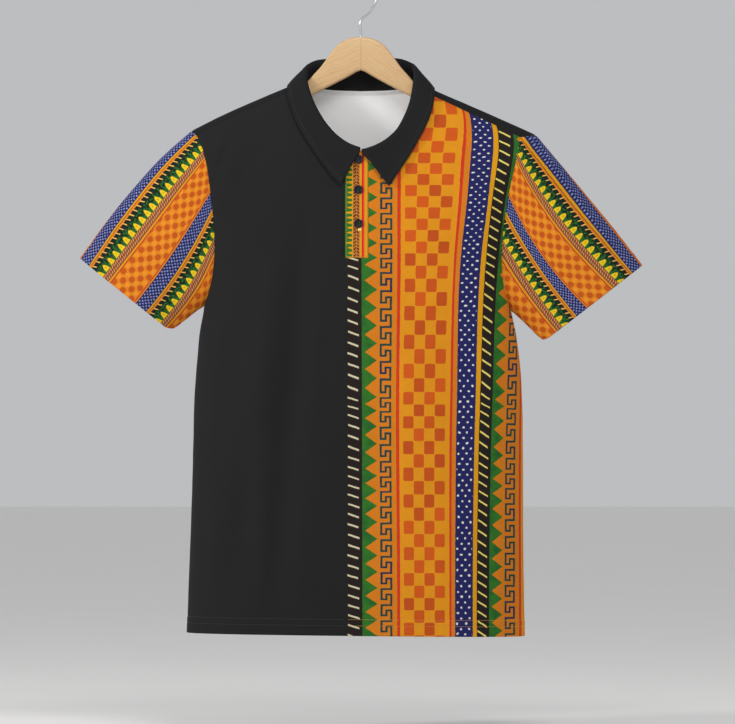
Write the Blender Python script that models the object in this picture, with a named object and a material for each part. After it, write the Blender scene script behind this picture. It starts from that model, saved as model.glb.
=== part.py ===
"""Kente print polo shirt on a wooden hanger.

The cloth is a hollow shell of thin walls, filled out a little as it hangs: a front, a back that rolls
over the shoulders, two short sleeves, a folded collar and the two strips of the placket. The hanger's
arms lie inside the shoulders, and its wire hook carries everything.

X runs to the viewer's right, Y away from the viewer and Z up. The origin is the inside of the hook's
crest. Sizes are millimetres, and MM turns them into Blender's metres.
"""

import math

import bmesh
import bpy
import numpy as np
from mathutils import Vector

MM = 0.001
FRONT, BACK = -1, 1
LEFT, MIDDLE, RIGHT = -1, 0, 1


def table(columns, *rows):
    """Named columns, each an array with one value for each row."""
    return dict(zip(columns.split(), np.array(rows, float).T))


# Cloth
CLOTH = 1.2
SEAM_GAP = 0.3
SIDE_POWER = 2.6  # how square the torso's cross-section is
RIDGE_RADIUS = 8.0  # how round the cloth lies over the hanger
ROUNDING = 3.0  # how quickly the roundness of sides and shoulders takes over from the full depth
FULLNESS = {FRONT: 1.05, BACK: 0.95}

# Torso from the hem up: the cloth's limits at each height, wider than the armholes above the armpits
TORSO = table(
    "z left right depth",
    (-873.0, -233.0, 218.8, 66.0),
    (-757.0, -228.4, 217.0, 66.0),
    (-624.0, -224.3, 216.3, 66.0),
    (-557.0, -222.7, 215.4, 66.0),
    (-500.0, -218.6, 211.5, 65.0),
    (-465.0, -215.2, 206.5, 64.0),
    (-435.0, -209.4, 200.6, 63.0),
    (-375.0, -208.5, 200.0, 63.0),
    (-340.0, -210.5, 204.0, 63.0),
    (-307.0, -214.5, 208.5, 63.0),
    (-273.0, -222.0, 217.0, 63.0),
    (-238.0, -238.0, 238.0, 63.0),
    (-204.0, -262.0, 264.0, 63.0),
    (-100.0, -300.0, 300.0, 63.0),
)
HEM = {"z": -869.1, "slope": -0.0105}
ARMPIT = {"z": -435.5, "slope": -0.0151}

# Shoulder line, from the viewer's left to right
RIDGE = table(
    "x z",
    (-300.0, -232.0),
    (-226.5, -198.2),
    (-198.0, -183.6),
    (-121.5, -149.5),
    (-97.5, -139.5),
    (-74.0, -129.2),
    (-40.0, -116.0),
    (0.0, -111.0),
    (40.0, -117.0),
    (75.0, -131.8),
    (97.5, -143.5),
    (118.8, -152.9),
    (158.9, -170.2),
    (233.6, -203.6),
    (300.0, -235.0),
)

# Shoulder ends: the neck point, the tip of the ridge and the front's top corner at the armhole
SHOULDER = {
    LEFT: {"neck_x": -74.0, "tip_x": -226.5, "corner_x": -219.7, "corner_drop": 9.3},
    RIGHT: {"neck_x": 75.0, "tip_x": 233.6, "corner_x": 212.9, "corner_drop": 12.6},
}
SEAM_DROP_AT_NECK = 7.0  # how far the forward shoulder seam lies below the ridge

# How far each armhole bows inwards from its chord, from the armpit up
ARMHOLE = table(
    "share left right",
    (0.00, 0.0, 0.0),
    (0.10, 8.6, 9.2),
    (0.25, 15.7, 15.8),
    (0.40, 18.1, 17.0),
    (0.55, 17.4, 15.1),
    (0.70, 15.0, 11.2),
    (0.85, 11.1, 5.0),
    (0.95, 5.2, 2.0),
    (1.00, 0.0, 0.0),
)

# Neckline of the front, from the placket's edges to the neck points
NECKLINE = {
    LEFT: table(
        "x z",
        (-21.1, -220.5),
        (-33.0, -214.0),
        (-44.0, -204.5),
        (-55.0, -192.0),
        (-65.0, -175.0),
        (-72.0, -155.0),
        (-74.3, -136.5),
    ),
    RIGHT: table(
        "x z",
        (9.9, -228.0),
        (28.0, -221.5),
        (44.0, -211.5),
        (57.0, -197.0),
        (67.0, -179.0),
        (73.5, -157.0),
        (75.3, -139.7),
    ),
}

# Neckline of the back: its share of the way to the neck point, and of the rise from its middle
BACK_NECK_Z = -144.3
BACK_NECK = table(
    "share rise",
    (0.00, 0.0),
    (0.61, 0.14),
    (0.84, 0.30),
    (0.96, 0.62),
    (1.00, 1.0),
)
BACK_NECK_STEPS = (0.0, 0.22, 0.45, 0.66, 0.84, 0.95, 1.0)

# Placket
PLACKET = {LEFT: -21.1, RIGHT: 9.9, "bottom": -368.5}
PLACKET_PROUD = 0.6  # the upper strip's face stands out this far from the front
UNDER_EDGES = {LEFT: -30.0, RIGHT: 5.0}
UNDER_DEPTH = CLOTH + SEAM_GAP

# Soft folds: a line from its top to its foot, its half-width and how far it rises outwards
FOLDS = table(
    "face x_top z_top x_foot z_foot width rise",
    (FRONT, -72.0, -290.0, -100.0, -800.0, 20.0, -3.5),
    (FRONT, -118.0, -400.0, -142.0, -640.0, 22.0, 3.0),
    (FRONT, -146.0, -560.0, -164.0, -780.0, 18.0, -3.0),
    (FRONT, 60.0, -420.0, 78.0, -800.0, 26.0, 2.5),
    (FRONT, 120.0, -300.0, 132.0, -700.0, 24.0, -2.5),
    (BACK, -92.0, -240.0, -118.0, -780.0, 24.0, 4.0),
    (BACK, -20.0, -300.0, -32.0, -820.0, 26.0, -4.0),
    (BACK, 66.0, -260.0, 92.0, -760.0, 24.0, 4.0),
    (BACK, 128.0, -420.0, 140.0, -800.0, 22.0, -3.0),
)

# Mesh of the torso
SIDE_CELLS = 12  # from the placket to a side seam
NECK_CELLS = 6  # of those, the ones that end on the neckline
SLOT_CELLS = 3
LOW_SHARES = np.linspace(0.0, 1.0, 10)  # rows from the hem to the armpits
SLOT_SHARE = 0.325
HIGH_SHARES = {  # rows from the armpits up, the back's closer together near the ridge
    FRONT: (0.012, 0.05, 0.11, 0.20, SLOT_SHARE, 0.42, 0.52, 0.62, 0.72, 0.82, 0.91, 1.0),
    BACK: (0.012, 0.05, 0.11, 0.20, 0.325, 0.42, 0.52, 0.62, 0.73, 0.84, 0.93, 0.975, 0.994, 1.0),
}
ARMPIT_ROW = len(LOW_SHARES) - 1
SLOT_ROW = len(LOW_SHARES) + HIGH_SHARES[FRONT].index(SLOT_SHARE)  # the placket's lower end
FLAP_SHARES = (0.15, 0.5, 1.0)  # rows of the back from the ridge to the forward seam

# Sleeves from the armhole to the cuff: the ends of each ring's chord, and its half-depth
SLEEVES = {
    LEFT: table(
        "share top_x top_z low_x low_z depth",
        (0.00, -226.5, -198.2, -208.9, -432.3, 30.0),
        (0.25, -265.0, -236.5, -221.0, -441.0, 30.0),
        (0.50, -303.0, -279.0, -232.5, -450.0, 28.0),
        (0.75, -339.0, -323.0, -243.5, -458.0, 26.0),
        (1.00, -374.5, -367.8, -254.0, -465.0, 24.0),
    ),
    RIGHT: table(
        "share top_x top_z low_x low_z depth",
        (0.00, 233.6, -203.6, 200.3, -438.5, 30.0),
        (0.25, 270.0, -240.0, 211.5, -449.0, 30.0),
        (0.50, 306.0, -282.0, 222.5, -459.5, 28.0),
        (0.75, 341.0, -328.5, 233.0, -469.5, 26.0),
        (1.00, 375.0, -377.1, 243.9, -478.6, 24.0),
    ),
}
SLEEVE_RINGS = (0.12, 0.30, 0.50, 0.70, 0.88, 1.0)
ARMHOLE_FADE = 0.6  # share of the sleeve over which the armhole's own shape fades out

# Collar, from the centre of the back to a front end: its roll line and its outer edge
COLLAR = {
    LEFT: table(
        "share roll_x roll_y roll_z edge_x edge_y edge_z",
        (0.00, 0.0, 24.0, -101.2, 0.0, 32.0, -152.0),
        (0.20, -45.0, 22.0, -102.0, -52.0, 30.0, -150.5),
        (0.30, -63.0, 15.0, -105.5, -79.0, 21.0, -147.5),
        (0.36, -72.0, 6.0, -111.5, -93.0, 9.5, -140.0),
        (0.39, -73.8, 0.5, -115.2, -96.4, 1.5, -137.4),
        (0.42, -74.5, -5.0, -120.0, -97.6, -7.5, -140.6),
        (0.51, -73.0, -15.0, -134.0, -96.0, -22.0, -157.0),
        (0.61, -66.5, -24.5, -154.0, -88.5, -30.5, -180.0),
        (0.71, -57.5, -30.5, -173.0, -77.0, -37.5, -203.0),
        (0.79, -46.5, -36.0, -190.0, -63.0, -42.5, -225.0),
        (0.86, -34.0, -40.0, -204.0, -50.0, -46.0, -243.0),
        (0.92, -20.0, -43.0, -214.5, -38.5, -49.0, -258.0),
        (1.00, -1.3, -45.5, -222.8, -26.7, -52.0, -270.3),
    ),
    RIGHT: table(
        "share roll_x roll_y roll_z edge_x edge_y edge_z",
        (0.00, 0.0, 24.0, -101.2, 0.0, 32.0, -152.0),
        (0.20, 45.0, 22.0, -101.0, 52.0, 30.0, -150.5),
        (0.30, 61.5, 15.0, -105.0, 79.0, 21.0, -148.5),
        (0.36, 70.5, 6.0, -111.0, 92.5, 9.5, -142.8),
        (0.39, 72.0, 0.5, -115.4, 96.2, 1.5, -140.9),
        (0.42, 72.5, -5.0, -121.0, 97.4, -7.5, -144.4),
        (0.51, 71.0, -15.0, -137.0, 96.0, -22.0, -161.5),
        (0.61, 66.5, -24.5, -159.0, 90.0, -30.5, -183.0),
        (0.71, 58.5, -31.0, -180.0, 79.0, -37.5, -206.0),
        (0.79, 47.0, -36.5, -199.0, 66.0, -42.5, -229.0),
        (0.88, 29.0, -41.0, -214.0, 53.0, -46.5, -249.0),
        (0.96, 9.0, -44.5, -223.0, 42.0, -49.0, -265.0),
        (1.00, 1.2, -45.5, -225.0, 37.0, -52.0, -272.6),
    ),
}
COLLAR_END_X = {LEFT: (-1.3, -11.0), RIGHT: (1.2,)}  # where its ends reach over the placket
COLLAR_FOLD_RADIUS = 1.2
COLLAR_BULGE = 2.0  # how far the falling leaf bows outwards

# Buttons: radius and height of each ring of the turned profile, and their centres on the strip
BUTTON = table(
    "radius height",
    (0.0, 0.0),
    (5.2, 0.0),
    (6.0, 0.7),
    (6.0, 1.6),
    (5.4, 2.2),
    (4.5, 2.2),
    (3.6, 1.3),
    (0.0, 1.3),
)
BUTTON_X = -3.4
BUTTON_HEIGHTS = (-237.6, -277.9, -322.9)
BUTTON_SEGMENTS = 16
BUTTON_HOLE_RADIUS = 0.8
BUTTON_HOLE_OFFSET = 1.5
BUTTON_SPAN = 4.0  # a button lies along the slope of the strip this far above and below its centre

# Hanger: the board's upper and lower edge on each side of its centre
BOARD = table(
    "x top low",
    (0.0, -72.8, -117.3),
    (6.0, -73.1, -119.5),
    (12.0, -74.1, -123.1),
    (18.0, -75.6, -126.6),
    (24.0, -78.4, -129.8),
    (30.0, -82.8, -132.9),
    (35.5, -88.1, -135.8),
    (44.7, -100.8, -140.5),
    (53.4, -112.8, -145.1),
    (63.0, -123.4, -150.1),
    (72.4, -133.4, -155.0),
    (85.0, -140.1, -161.5),
    (97.5, -145.4, -168.0),
    (120.0, -154.9, -178.0),
    (150.0, -167.5, -189.5),
    (180.0, -180.3, -200.0),
    (199.0, -188.8, -207.0),
    (205.0, -192.5, -205.5),
)
BOARD_THICKNESS = 12.0
BOARD_EDGE = 3.4  # how far the rounded edge comes in from each face
BOARD_TILT = -0.01  # it hangs a little lower on the viewer's right

# Hook: the wire, the middle line of its stem, and the round part
WIRE_RADIUS = 1.5
HOOK_RADIUS = 21.0
STEM = table(
    "x z",
    (0.0, -92.0),
    (0.0, -80.0),
    (0.0, -70.0),
    (-0.8, -60.0),
    (-0.8, -53.0),
    (1.6, -48.0),
    (6.0, -44.3),
    (11.3, -40.6),
)
HOOK_ARC = (-42.0, 182.0)  # degrees, from the stem's side over the crest to the tip
STEM_HOLE_BOTTOM = -93.0

# Colours as linear values, with roughness and metallic
FINISHES = {
    "black_cloth": ((0.018, 0.018, 0.019), 0.85, 0.0),
    "kente_cloth": ((0.70, 0.27, 0.03), 0.80, 0.0),
    "button": ((0.012, 0.014, 0.022), 0.30, 0.0),
    "wood": ((0.62, 0.40, 0.20), 0.45, 0.0),
    "steel": ((0.65, 0.65, 0.66), 0.22, 1.0),
}


def mix(a, b, share):
    return a + (b - a) * share


def ease(share):
    """0 to 1 with a level start and end."""
    share = min(max(share, 0.0), 1.0)
    return share * share * (3 - 2 * share)


def smooth(at, xs, ys):
    """A smooth curve through a table's points, read at one place."""
    slopes = np.gradient(ys, xs)
    at = min(max(at, xs[0]), xs[-1])
    i = min(int(np.searchsorted(xs, at, side="right")) - 1, len(xs) - 2)
    span = xs[i + 1] - xs[i]
    t = (at - xs[i]) / span
    rise = ys[i + 1] - ys[i]
    low_bend = slopes[i] * span - rise
    high_bend = rise - slopes[i + 1] * span
    return float(mix(ys[i], ys[i + 1], t) + t * (1 - t) * (mix(low_bend, high_bend, t)))


def unit(vector):
    return vector / np.linalg.norm(vector)


# Shape of the cloth


def ridge(x):
    return smooth(x, RIDGE["x"], RIDGE["z"])


def torso_limits(z):
    return smooth(z, TORSO["z"], TORSO["left"]), smooth(z, TORSO["z"], TORSO["right"])


def half_depth(x, z):
    """How far front and back stand from the hanger's plane: round at sides and over the shoulders."""
    left, right = torso_limits(z)
    across = min(abs(2 * x - left - right) / (right - left), 1.0)
    side = smooth(z, TORSO["z"], TORSO["depth"]) * math.sqrt(1 - across**SIDE_POWER)
    top = math.sqrt(2 * RIDGE_RADIUS * max(ridge(x) - z, 0.0))
    if min(side, top) < 0.01:
        return min(side, top)
    return (side**-ROUNDING + top**-ROUNDING) ** (-1 / ROUNDING)


def fold_rise(face, x, z):
    total = 0.0
    for fold_face, x_top, z_top, x_foot, z_foot, width, rise in zip(*FOLDS.values()):
        run = np.array([x_foot - x_top, z_foot - z_top])
        reach = np.array([x - x_top, z - z_top])
        along = reach @ run / (run @ run)
        if fold_face == face and 0 < along < 1:
            aside = np.linalg.norm(reach - along * run)
            total += rise * math.sin(math.pi * along) * math.exp(-((aside / width) ** 2))
    return total


def cloth_y(face, x, z):
    depth = half_depth(x, z)
    return face * (FULLNESS[face] * depth + fold_rise(face, x, z) * ease(depth / 30))


def level(line, x):
    """Height at x of the hem or of the armpits, which both slope a little."""
    return line["z"] + line["slope"] * x


class Skin:
    """The shirt's outer points and faces. Neighbours share points, so that their walls stay parallel."""

    def __init__(self):
        self.points = []
        self.faces = []

    def add(self, x, y, z):
        self.points.append((x, y, z))
        return len(self.points) - 1

    def cover(self, piece, grid, inside_out=False):
        for low, high in zip(grid, grid[1:]):
            for a, b, c, d in zip(low, low[1:], high[1:], high):
                if None not in (a, b, c, d):
                    self.faces.append((piece, (d, c, b, a) if inside_out else (a, b, c, d)))

    def normals(self):
        """Outward directions at the points, longer where faces meet at an angle, to keep walls thick.
        At a seam each piece counts the same, so that their walls part halfway between them."""
        points = np.array(self.points)
        touching = [{} for _ in points]
        for piece, face in self.faces:
            a, b, c, d = points[list(face)]
            normal = np.cross(c - a, d - b)
            size = np.linalg.norm(normal)
            if size > 0:
                for corner in face:
                    touching[corner].setdefault(piece, []).append(normal / size)
        directions = []
        for pieces in touching:
            means = [unit(np.sum(normals, axis=0)) for normals in pieces.values()]
            mean = unit(np.sum(means, axis=0))
            lean = float(np.mean([mean @ normal for normals in pieces.values() for normal in normals]))
            directions.append(mean / max(lean, 0.65))
        return np.array(directions)


# Torso

COLUMNS = (
    [(LEFT, k) for k in range(SIDE_CELLS, -1, -1)]
    + [(MIDDLE, k) for k in range(1, SLOT_CELLS)]
    + [(RIGHT, k) for k in range(SIDE_CELLS + 1)]
)


def low_x(column, z):
    """Where a column runs below the armpits: straight at the placket, closer together at the sides."""
    hand, k = column
    if hand == MIDDLE:
        return mix(PLACKET[LEFT], PLACKET[RIGHT], k / SLOT_CELLS)
    left, right = torso_limits(z)
    middle, half = (left + right) / 2, (right - left) / 2
    start = math.asin((hand * (PLACKET[hand] - middle) / half) ** (SIDE_POWER / 2))
    turn = mix(start, math.pi / 2, k / SIDE_CELLS)
    return middle + hand * half * math.sin(turn) ** (2 / SIDE_POWER)


def front_top(column):
    """Upper end of a column of the front: on the neckline, or on the forward shoulder seam."""
    hand, k = column
    if hand == MIDDLE:
        ends = [(NECKLINE[side]["x"][0], NECKLINE[side]["z"][0]) for side in (LEFT, RIGHT)]
        return tuple(mix(np.array(ends[0]), np.array(ends[1]), k / SLOT_CELLS))
    line = NECKLINE[hand]
    if k <= NECK_CELLS:
        return line["x"][k], line["z"][k]
    share = (k - NECK_CELLS) / (SIDE_CELLS - NECK_CELLS)
    x = mix(line["x"][-1], SHOULDER[hand]["corner_x"], share)
    return x, ridge(x) - mix(SEAM_DROP_AT_NECK, SHOULDER[hand]["corner_drop"], share)


def back_top(column):
    """Upper end of a column of the back: on its neckline, or on the ridge of the shoulder."""
    hand, k = column
    if hand == MIDDLE:
        x = mix(PLACKET[LEFT], PLACKET[RIGHT], k / SLOT_CELLS)
    elif k <= NECK_CELLS:
        x = mix(PLACKET[hand], SHOULDER[hand]["neck_x"], BACK_NECK_STEPS[k])
    else:
        share = (k - NECK_CELLS) / (SIDE_CELLS - NECK_CELLS)
        x = mix(SHOULDER[hand]["neck_x"], SHOULDER[hand]["tip_x"], share)
        return x, ridge(x)
    neck = SHOULDER[LEFT if x < 0 else RIGHT]["neck_x"]
    return x, mix(BACK_NECK_Z, ridge(neck), smooth(x / neck, BACK_NECK["share"], BACK_NECK["rise"]))


def torso_place(face, column, row):
    """Where a column crosses a row, in the hanger's plane."""
    hand, k = column
    if row < len(LOW_SHARES):
        share = LOW_SHARES[row]
        x = low_x(column, mix(HEM["z"], ARMPIT["z"], share))
        return x, mix(level(HEM, x), level(ARMPIT, x), share)
    share = HIGH_SHARES[face][row - len(LOW_SHARES)]
    foot_x = low_x(column, ARMPIT["z"])
    top_x, top_z = front_top(column) if face == FRONT else back_top(column)
    x, z = mix(foot_x, top_x, share), mix(level(ARMPIT, foot_x), top_z, share)
    if hand != MIDDLE:
        bow = smooth(share, ARMHOLE["share"], ARMHOLE["left" if hand == LEFT else "right"])
        x -= hand * bow * (k / SIDE_CELLS) ** 3
    if face == FRONT and row == SLOT_ROW and (k == 0 or hand == MIDDLE):
        z = PLACKET["bottom"]
    return x, z


def torso_grid(skin, face, shared=None):
    """Rows of points from the hem up. The back takes the side seams' points from the front."""
    grid = []
    for row in range(len(LOW_SHARES) + len(HIGH_SHARES[face])):
        line = []
        for number, column in enumerate(COLUMNS):
            hand, k = column
            at_side_seam = k == SIDE_CELLS and row <= ARMPIT_ROW
            if shared and at_side_seam:
                line.append(shared[row][number])
            elif face == FRONT and hand == MIDDLE and row > SLOT_ROW:
                line.append(None)
            else:
                x, z = torso_place(face, column, row)
                line.append(skin.add(x, 0.0 if at_side_seam else cloth_y(face, x, z), z))
        grid.append(line)
    return grid


def flap_grid(skin, front, back):
    """The back's rows from the ridge over to the forward shoulder seam, whose points the front has."""
    grid = [[index if k >= NECK_CELLS else None for index, (_, k) in zip(back[-1], COLUMNS)]]
    grid[0] = [index if hand != MIDDLE else None for index, (hand, _) in zip(grid[0], COLUMNS)]
    for share in FLAP_SHARES[:-1]:
        line = []
        for number, _ in enumerate(COLUMNS):
            if grid[0][number] is None:
                line.append(None)
                continue
            ridge_point = np.array(skin.points[grid[0][number]])
            seam_point = np.array(skin.points[front[-1][number]])
            x, _, z = mix(ridge_point, seam_point, share)
            line.append(skin.add(x, cloth_y(FRONT, x, z), z))
        grid.append(line)
    grid.append([None if top is None else seam for top, seam in zip(grid[0], front[-1])])
    return grid


# Sleeves


def armhole_loop(front, back, flap, number):
    """The armhole's points: from the armpit up the front, over the shoulder and down the back."""
    up = [line[number] for line in front[ARMPIT_ROW:]]
    over = [line[number] for line in flap[-2:0:-1]]
    down = [line[number] for line in back[:ARMPIT_ROW:-1]]
    return up + over + down + [up[0]]


def sleeve_grid(skin, hand, loop):
    sizes = SLEEVES[hand]

    def chord(share):
        """Upper end, lower end, and the direction that leads away from the chord."""
        ends = ("top_x", "top_z", "low_x", "low_z")
        values = [smooth(share, sizes["share"], sizes[name]) for name in ends]
        top, low = np.array(values[:2]), np.array(values[2:])
        run = unit(low - top)
        return top, low, np.array([-run[1], run[0]])

    top, low, aside = chord(0.0)
    places = []
    for index in loop[:-1]:
        x, y, z = skin.points[index]
        reach = np.array([x, z]) - top
        down = reach @ (low - top) / ((low - top) @ (low - top))
        places.append((min(max(down, 0.0), 1.0), reach @ aside, y))
    grid = [loop]
    for share in SLEEVE_RINGS:
        top, low, aside = chord(share)
        depth = smooth(share, sizes["share"], sizes["depth"])
        fade = 1 - ease(share / ARMHOLE_FADE)
        line = []
        for down, offset, y in places:
            x, z = mix(top, low, down) + aside * offset * fade
            round_y = math.copysign(depth * math.sqrt(4 * down * (1 - down)), y)
            line.append(skin.add(x, mix(round_y, y, fade), z))
        grid.append(line + [line[0]])
    return grid


# Collar


def collar_seam(skin, front, back, flap):
    """The collar's seam from its left front end round the back of the neck to its right front end."""
    left_edge = COLUMNS.index((LEFT, 0))
    left_neck = COLUMNS.index((LEFT, NECK_CELLS))
    right_edge = COLUMNS.index((RIGHT, 0))
    right_neck = COLUMNS.index((RIGHT, NECK_CELLS))

    def end_points(hand):
        points = []
        for x in COLLAR_END_X[hand]:
            share = (x - PLACKET[LEFT]) / (PLACKET[RIGHT] - PLACKET[LEFT])
            z = mix(NECKLINE[LEFT]["z"][0], NECKLINE[RIGHT]["z"][0], share)
            points.append(skin.add(x, cloth_y(FRONT, x, z) - PLACKET_PROUD, z))
        return points

    return (
        end_points(LEFT)
        + [front[-1][number] for number in range(left_edge, left_neck - 1, -1)]
        + [line[left_neck] for line in flap[-2::-1]]
        + [back[-1][number] for number in range(left_neck + 1, right_neck)]
        + [line[right_neck] for line in flap[:-1]]
        + [front[-1][number] for number in range(right_neck, right_edge - 1, -1)]
        + end_points(RIGHT)
    )


def collar_grid(skin, seam):
    """Rows from the seam up the stand, over the roll line and down the leaf's underside to its edge."""
    points = np.array([skin.points[index] for index in seam])
    steps = np.linalg.norm(np.diff(points, axis=0), axis=1)
    run = np.concatenate([[0.0], np.cumsum(steps)])
    behind = points[:, 1] > 0
    centre = np.interp(0.0, points[behind, 0], run[behind])
    rows = [list(seam)] + [[] for _ in range(7)]
    for low, distance in zip(points, run):
        hand = LEFT if distance < centre else RIGHT
        share = abs(distance - centre) / (centre if hand == LEFT else run[-1] - centre)
        sizes = COLLAR[hand]

        def place(line):
            return np.array([smooth(share, sizes["share"], sizes[f"{line}_{axis}"]) for axis in "xyz"])

        roll, edge = place("roll"), place("edge")
        out = unit(np.array([low[0], low[1] * 1.6, 0.0]))
        up = unit(roll - low)
        stand_top = roll - COLLAR_FOLD_RADIUS * (out + up)
        leaf_top = roll + COLLAR_FOLD_RADIUS * (out - up)
        bulge = out * COLLAR_BULGE * ease(1 - share)
        section = (
            mix(low, stand_top, 0.5),
            stand_top,
            roll,
            leaf_top,
            mix(leaf_top, edge, 0.33) + bulge,
            mix(leaf_top, edge, 0.67) + bulge,
            edge,
        )
        for line, point in zip(rows[1:], section):
            line.append(skin.add(*point))
    return rows


# Solids


def material(name):
    made = bpy.data.materials.get(name)
    if made is None:
        colour, roughness, metallic = FINISHES[name]
        made = bpy.data.materials.new(name)
        made.use_nodes = True
        shader = made.node_tree.nodes["Principled BSDF"]
        shader.inputs["Base Color"].default_value = (*colour, 1.0)
        shader.inputs["Roughness"].default_value = roughness
        shader.inputs["Metallic"].default_value = metallic
    return made


def add_object(name, mesh, finish):
    mesh.materials.append(material(finish))
    mesh.shade_smooth()
    mesh.set_sharp_from_angle(angle=math.radians(50))
    made = bpy.data.objects.new(name, mesh)
    bpy.context.scene.collection.objects.link(made)
    return made


def mesh_of(name, points, faces):
    """A closed mesh with its faces turned outwards, from points in millimetres."""
    made = bmesh.new()
    corners = [made.verts.new(Vector(point) * MM) for point in points]
    for face in faces:
        made.faces.new([corners[index] for index in face])
    bmesh.ops.recalc_face_normals(made, faces=made.faces)
    mesh = bpy.data.meshes.new(name)
    made.to_mesh(mesh)
    made.free()
    return mesh


def wall(name, grid, points, normals, finish):
    """A cloth wall: the grid's outer face, the same face moved in, and a rim that joins them."""
    cells = []
    for low, high in zip(grid, grid[1:]):
        cells += [cell for cell in zip(low, low[1:], high[1:], high) if None not in cell]
    uses = {}
    for cell in cells:
        for edge in zip(cell, cell[1:] + cell[:1]):
            uses.setdefault(tuple(sorted(edge)), []).append(edge)
    rim = [edges[0] for edges in uses.values() if len(edges) == 1]
    inward = {}
    for cell in cells:
        middle = np.mean([points[i] for i in cell], axis=0)
        for edge in zip(cell, cell[1:] + cell[:1]):
            if len(uses[tuple(sorted(edge))]) == 1:
                start, end = np.array(points[edge[0]]), np.array(points[edge[1]])
                along = unit(end - start)
                reach = middle - start
                for index in edge:
                    inward.setdefault(index, []).append(unit(reach - (reach @ along) * along))
    outer = {}
    for index in sorted({index for cell in cells for index in cell}):
        point = np.array(points[index])
        if index in inward:
            pull = unit(np.sum(inward[index], axis=0))
            point = point + pull * SEAM_GAP / 2 / max(pull @ inward[index][0], 0.5)
        outer[index] = point
    order = {index: number for number, index in enumerate(outer)}
    count = len(order)
    corners = list(outer.values()) + [point - normals[index] * CLOTH for index, point in outer.items()]
    faces = [tuple(order[i] for i in cell) for cell in cells]
    faces += [tuple(order[i] + count for i in reversed(cell)) for cell in cells]
    for a, b in rim:  # neighbours split the rim along the same diagonal, so that it parts them cleanly
        outer_a, outer_b, inner_a, inner_b = order[a], order[b], order[a] + count, order[b] + count
        if a < b:
            faces += [(outer_b, outer_a, inner_b), (outer_a, inner_a, inner_b)]
        else:
            faces += [(outer_b, outer_a, inner_a), (outer_b, inner_a, inner_b)]
    return add_object(name, mesh_of(name, corners, faces), finish)


def strip(name, edges, face_depth, finish):
    """A placket strip made from the front's points, with its outer face this far inside the front."""
    heights = [PLACKET["bottom"]]
    rows = range(SLOT_ROW + 1, len(LOW_SHARES) + len(HIGH_SHARES[FRONT]))
    heights += [torso_place(FRONT, (LEFT, 0), row)[1] for row in rows]
    left_z, right_z = NECKLINE[LEFT]["z"][0], NECKLINE[RIGHT]["z"][0]
    slope = (right_z - left_z) / (PLACKET[RIGHT] - PLACKET[LEFT])
    points = []
    for depth in (face_depth, face_depth + CLOTH):
        for height in heights:
            rise = (height - PLACKET["bottom"]) / (left_z - PLACKET["bottom"])
            for k in range(SLOT_CELLS + 1):
                x = mix(edges[LEFT], edges[RIGHT], k / SLOT_CELLS)
                z = height + rise * slope * (x - PLACKET[LEFT]) + SEAM_GAP * (0.5 - rise)
                points.append((x, cloth_y(FRONT, x, z) + depth, z))
    wide = SLOT_CELLS + 1
    count = wide * len(heights)
    cells = [
        (a, a + 1, a + 1 + wide, a + wide)
        for row in range(len(heights) - 1)
        for a in range(row * wide, row * wide + SLOT_CELLS)
    ]
    faces = cells + [tuple(index + count for index in reversed(cell)) for cell in cells]
    edge_loop = list(range(wide))
    edge_loop += [row * wide + SLOT_CELLS for row in range(1, len(heights))]
    edge_loop += list(range(count - 2, count - wide - 1, -1))
    edge_loop += [row * wide for row in range(len(heights) - 2, 0, -1)]
    for a, b in zip(edge_loop, edge_loop[1:] + edge_loop[:1]):
        faces.append((b, a, a + count, b + count))
    return add_object(name, mesh_of(name, points, faces), finish)


def add_shirt():
    skin = Skin()
    front = torso_grid(skin, FRONT)
    back = torso_grid(skin, BACK, shared=front)
    flap = flap_grid(skin, front, back)
    loops = {LEFT: armhole_loop(front, back, flap, 0), RIGHT: armhole_loop(front, back, flap, -1)}
    sleeves = {hand: sleeve_grid(skin, hand, loop) for hand, loop in loops.items()}
    seam = collar_seam(skin, front, back, flap)
    collar = collar_grid(skin, seam)
    skin.cover("front", front)
    skin.cover("back", back + flap[1:], inside_out=True)
    skin.cover("sleeve_left", sleeves[LEFT])
    skin.cover("sleeve_right", sleeves[RIGHT], inside_out=True)
    skin.cover("collar", collar, inside_out=True)
    normals = skin.normals()
    wall("front", front, skin.points, normals, "kente_cloth")
    wall("back", back + flap[1:], skin.points, normals, "black_cloth")
    wall("sleeve_left", sleeves[LEFT], skin.points, normals, "kente_cloth")
    wall("sleeve_right", sleeves[RIGHT], skin.points, normals, "kente_cloth")
    wall("collar", collar, skin.points, normals, "black_cloth")


def add_placket():
    top_edges = {LEFT: PLACKET[LEFT] + SEAM_GAP / 2, RIGHT: PLACKET[RIGHT] - SEAM_GAP / 2}
    strip("placket_top", top_edges, -PLACKET_PROUD, "kente_cloth")
    strip("placket_under", UNDER_EDGES, UNDER_DEPTH, "kente_cloth")


# Hard pieces


def turned(name, profile, segments):
    """A mesh turned about Z from a profile that starts and ends on the axis."""
    points, rings = [], []
    for radius, height in zip(profile["radius"], profile["height"]):
        count = 1 if radius == 0 else segments
        rings.append([len(points) + i for i in range(count)])
        for i in range(count):
            angle = 2 * math.pi * i / segments
            points.append((radius * math.cos(angle), radius * math.sin(angle), height))
    faces = []
    for low, high in zip(rings, rings[1:]):
        for i in range(segments):
            j = (i + 1) % segments
            corners = [low[i % len(low)], low[j % len(low)], high[j % len(high)], high[i % len(high)]]
            faces.append(tuple(dict.fromkeys(corners)))
    return mesh_of(name, points, faces)


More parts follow.
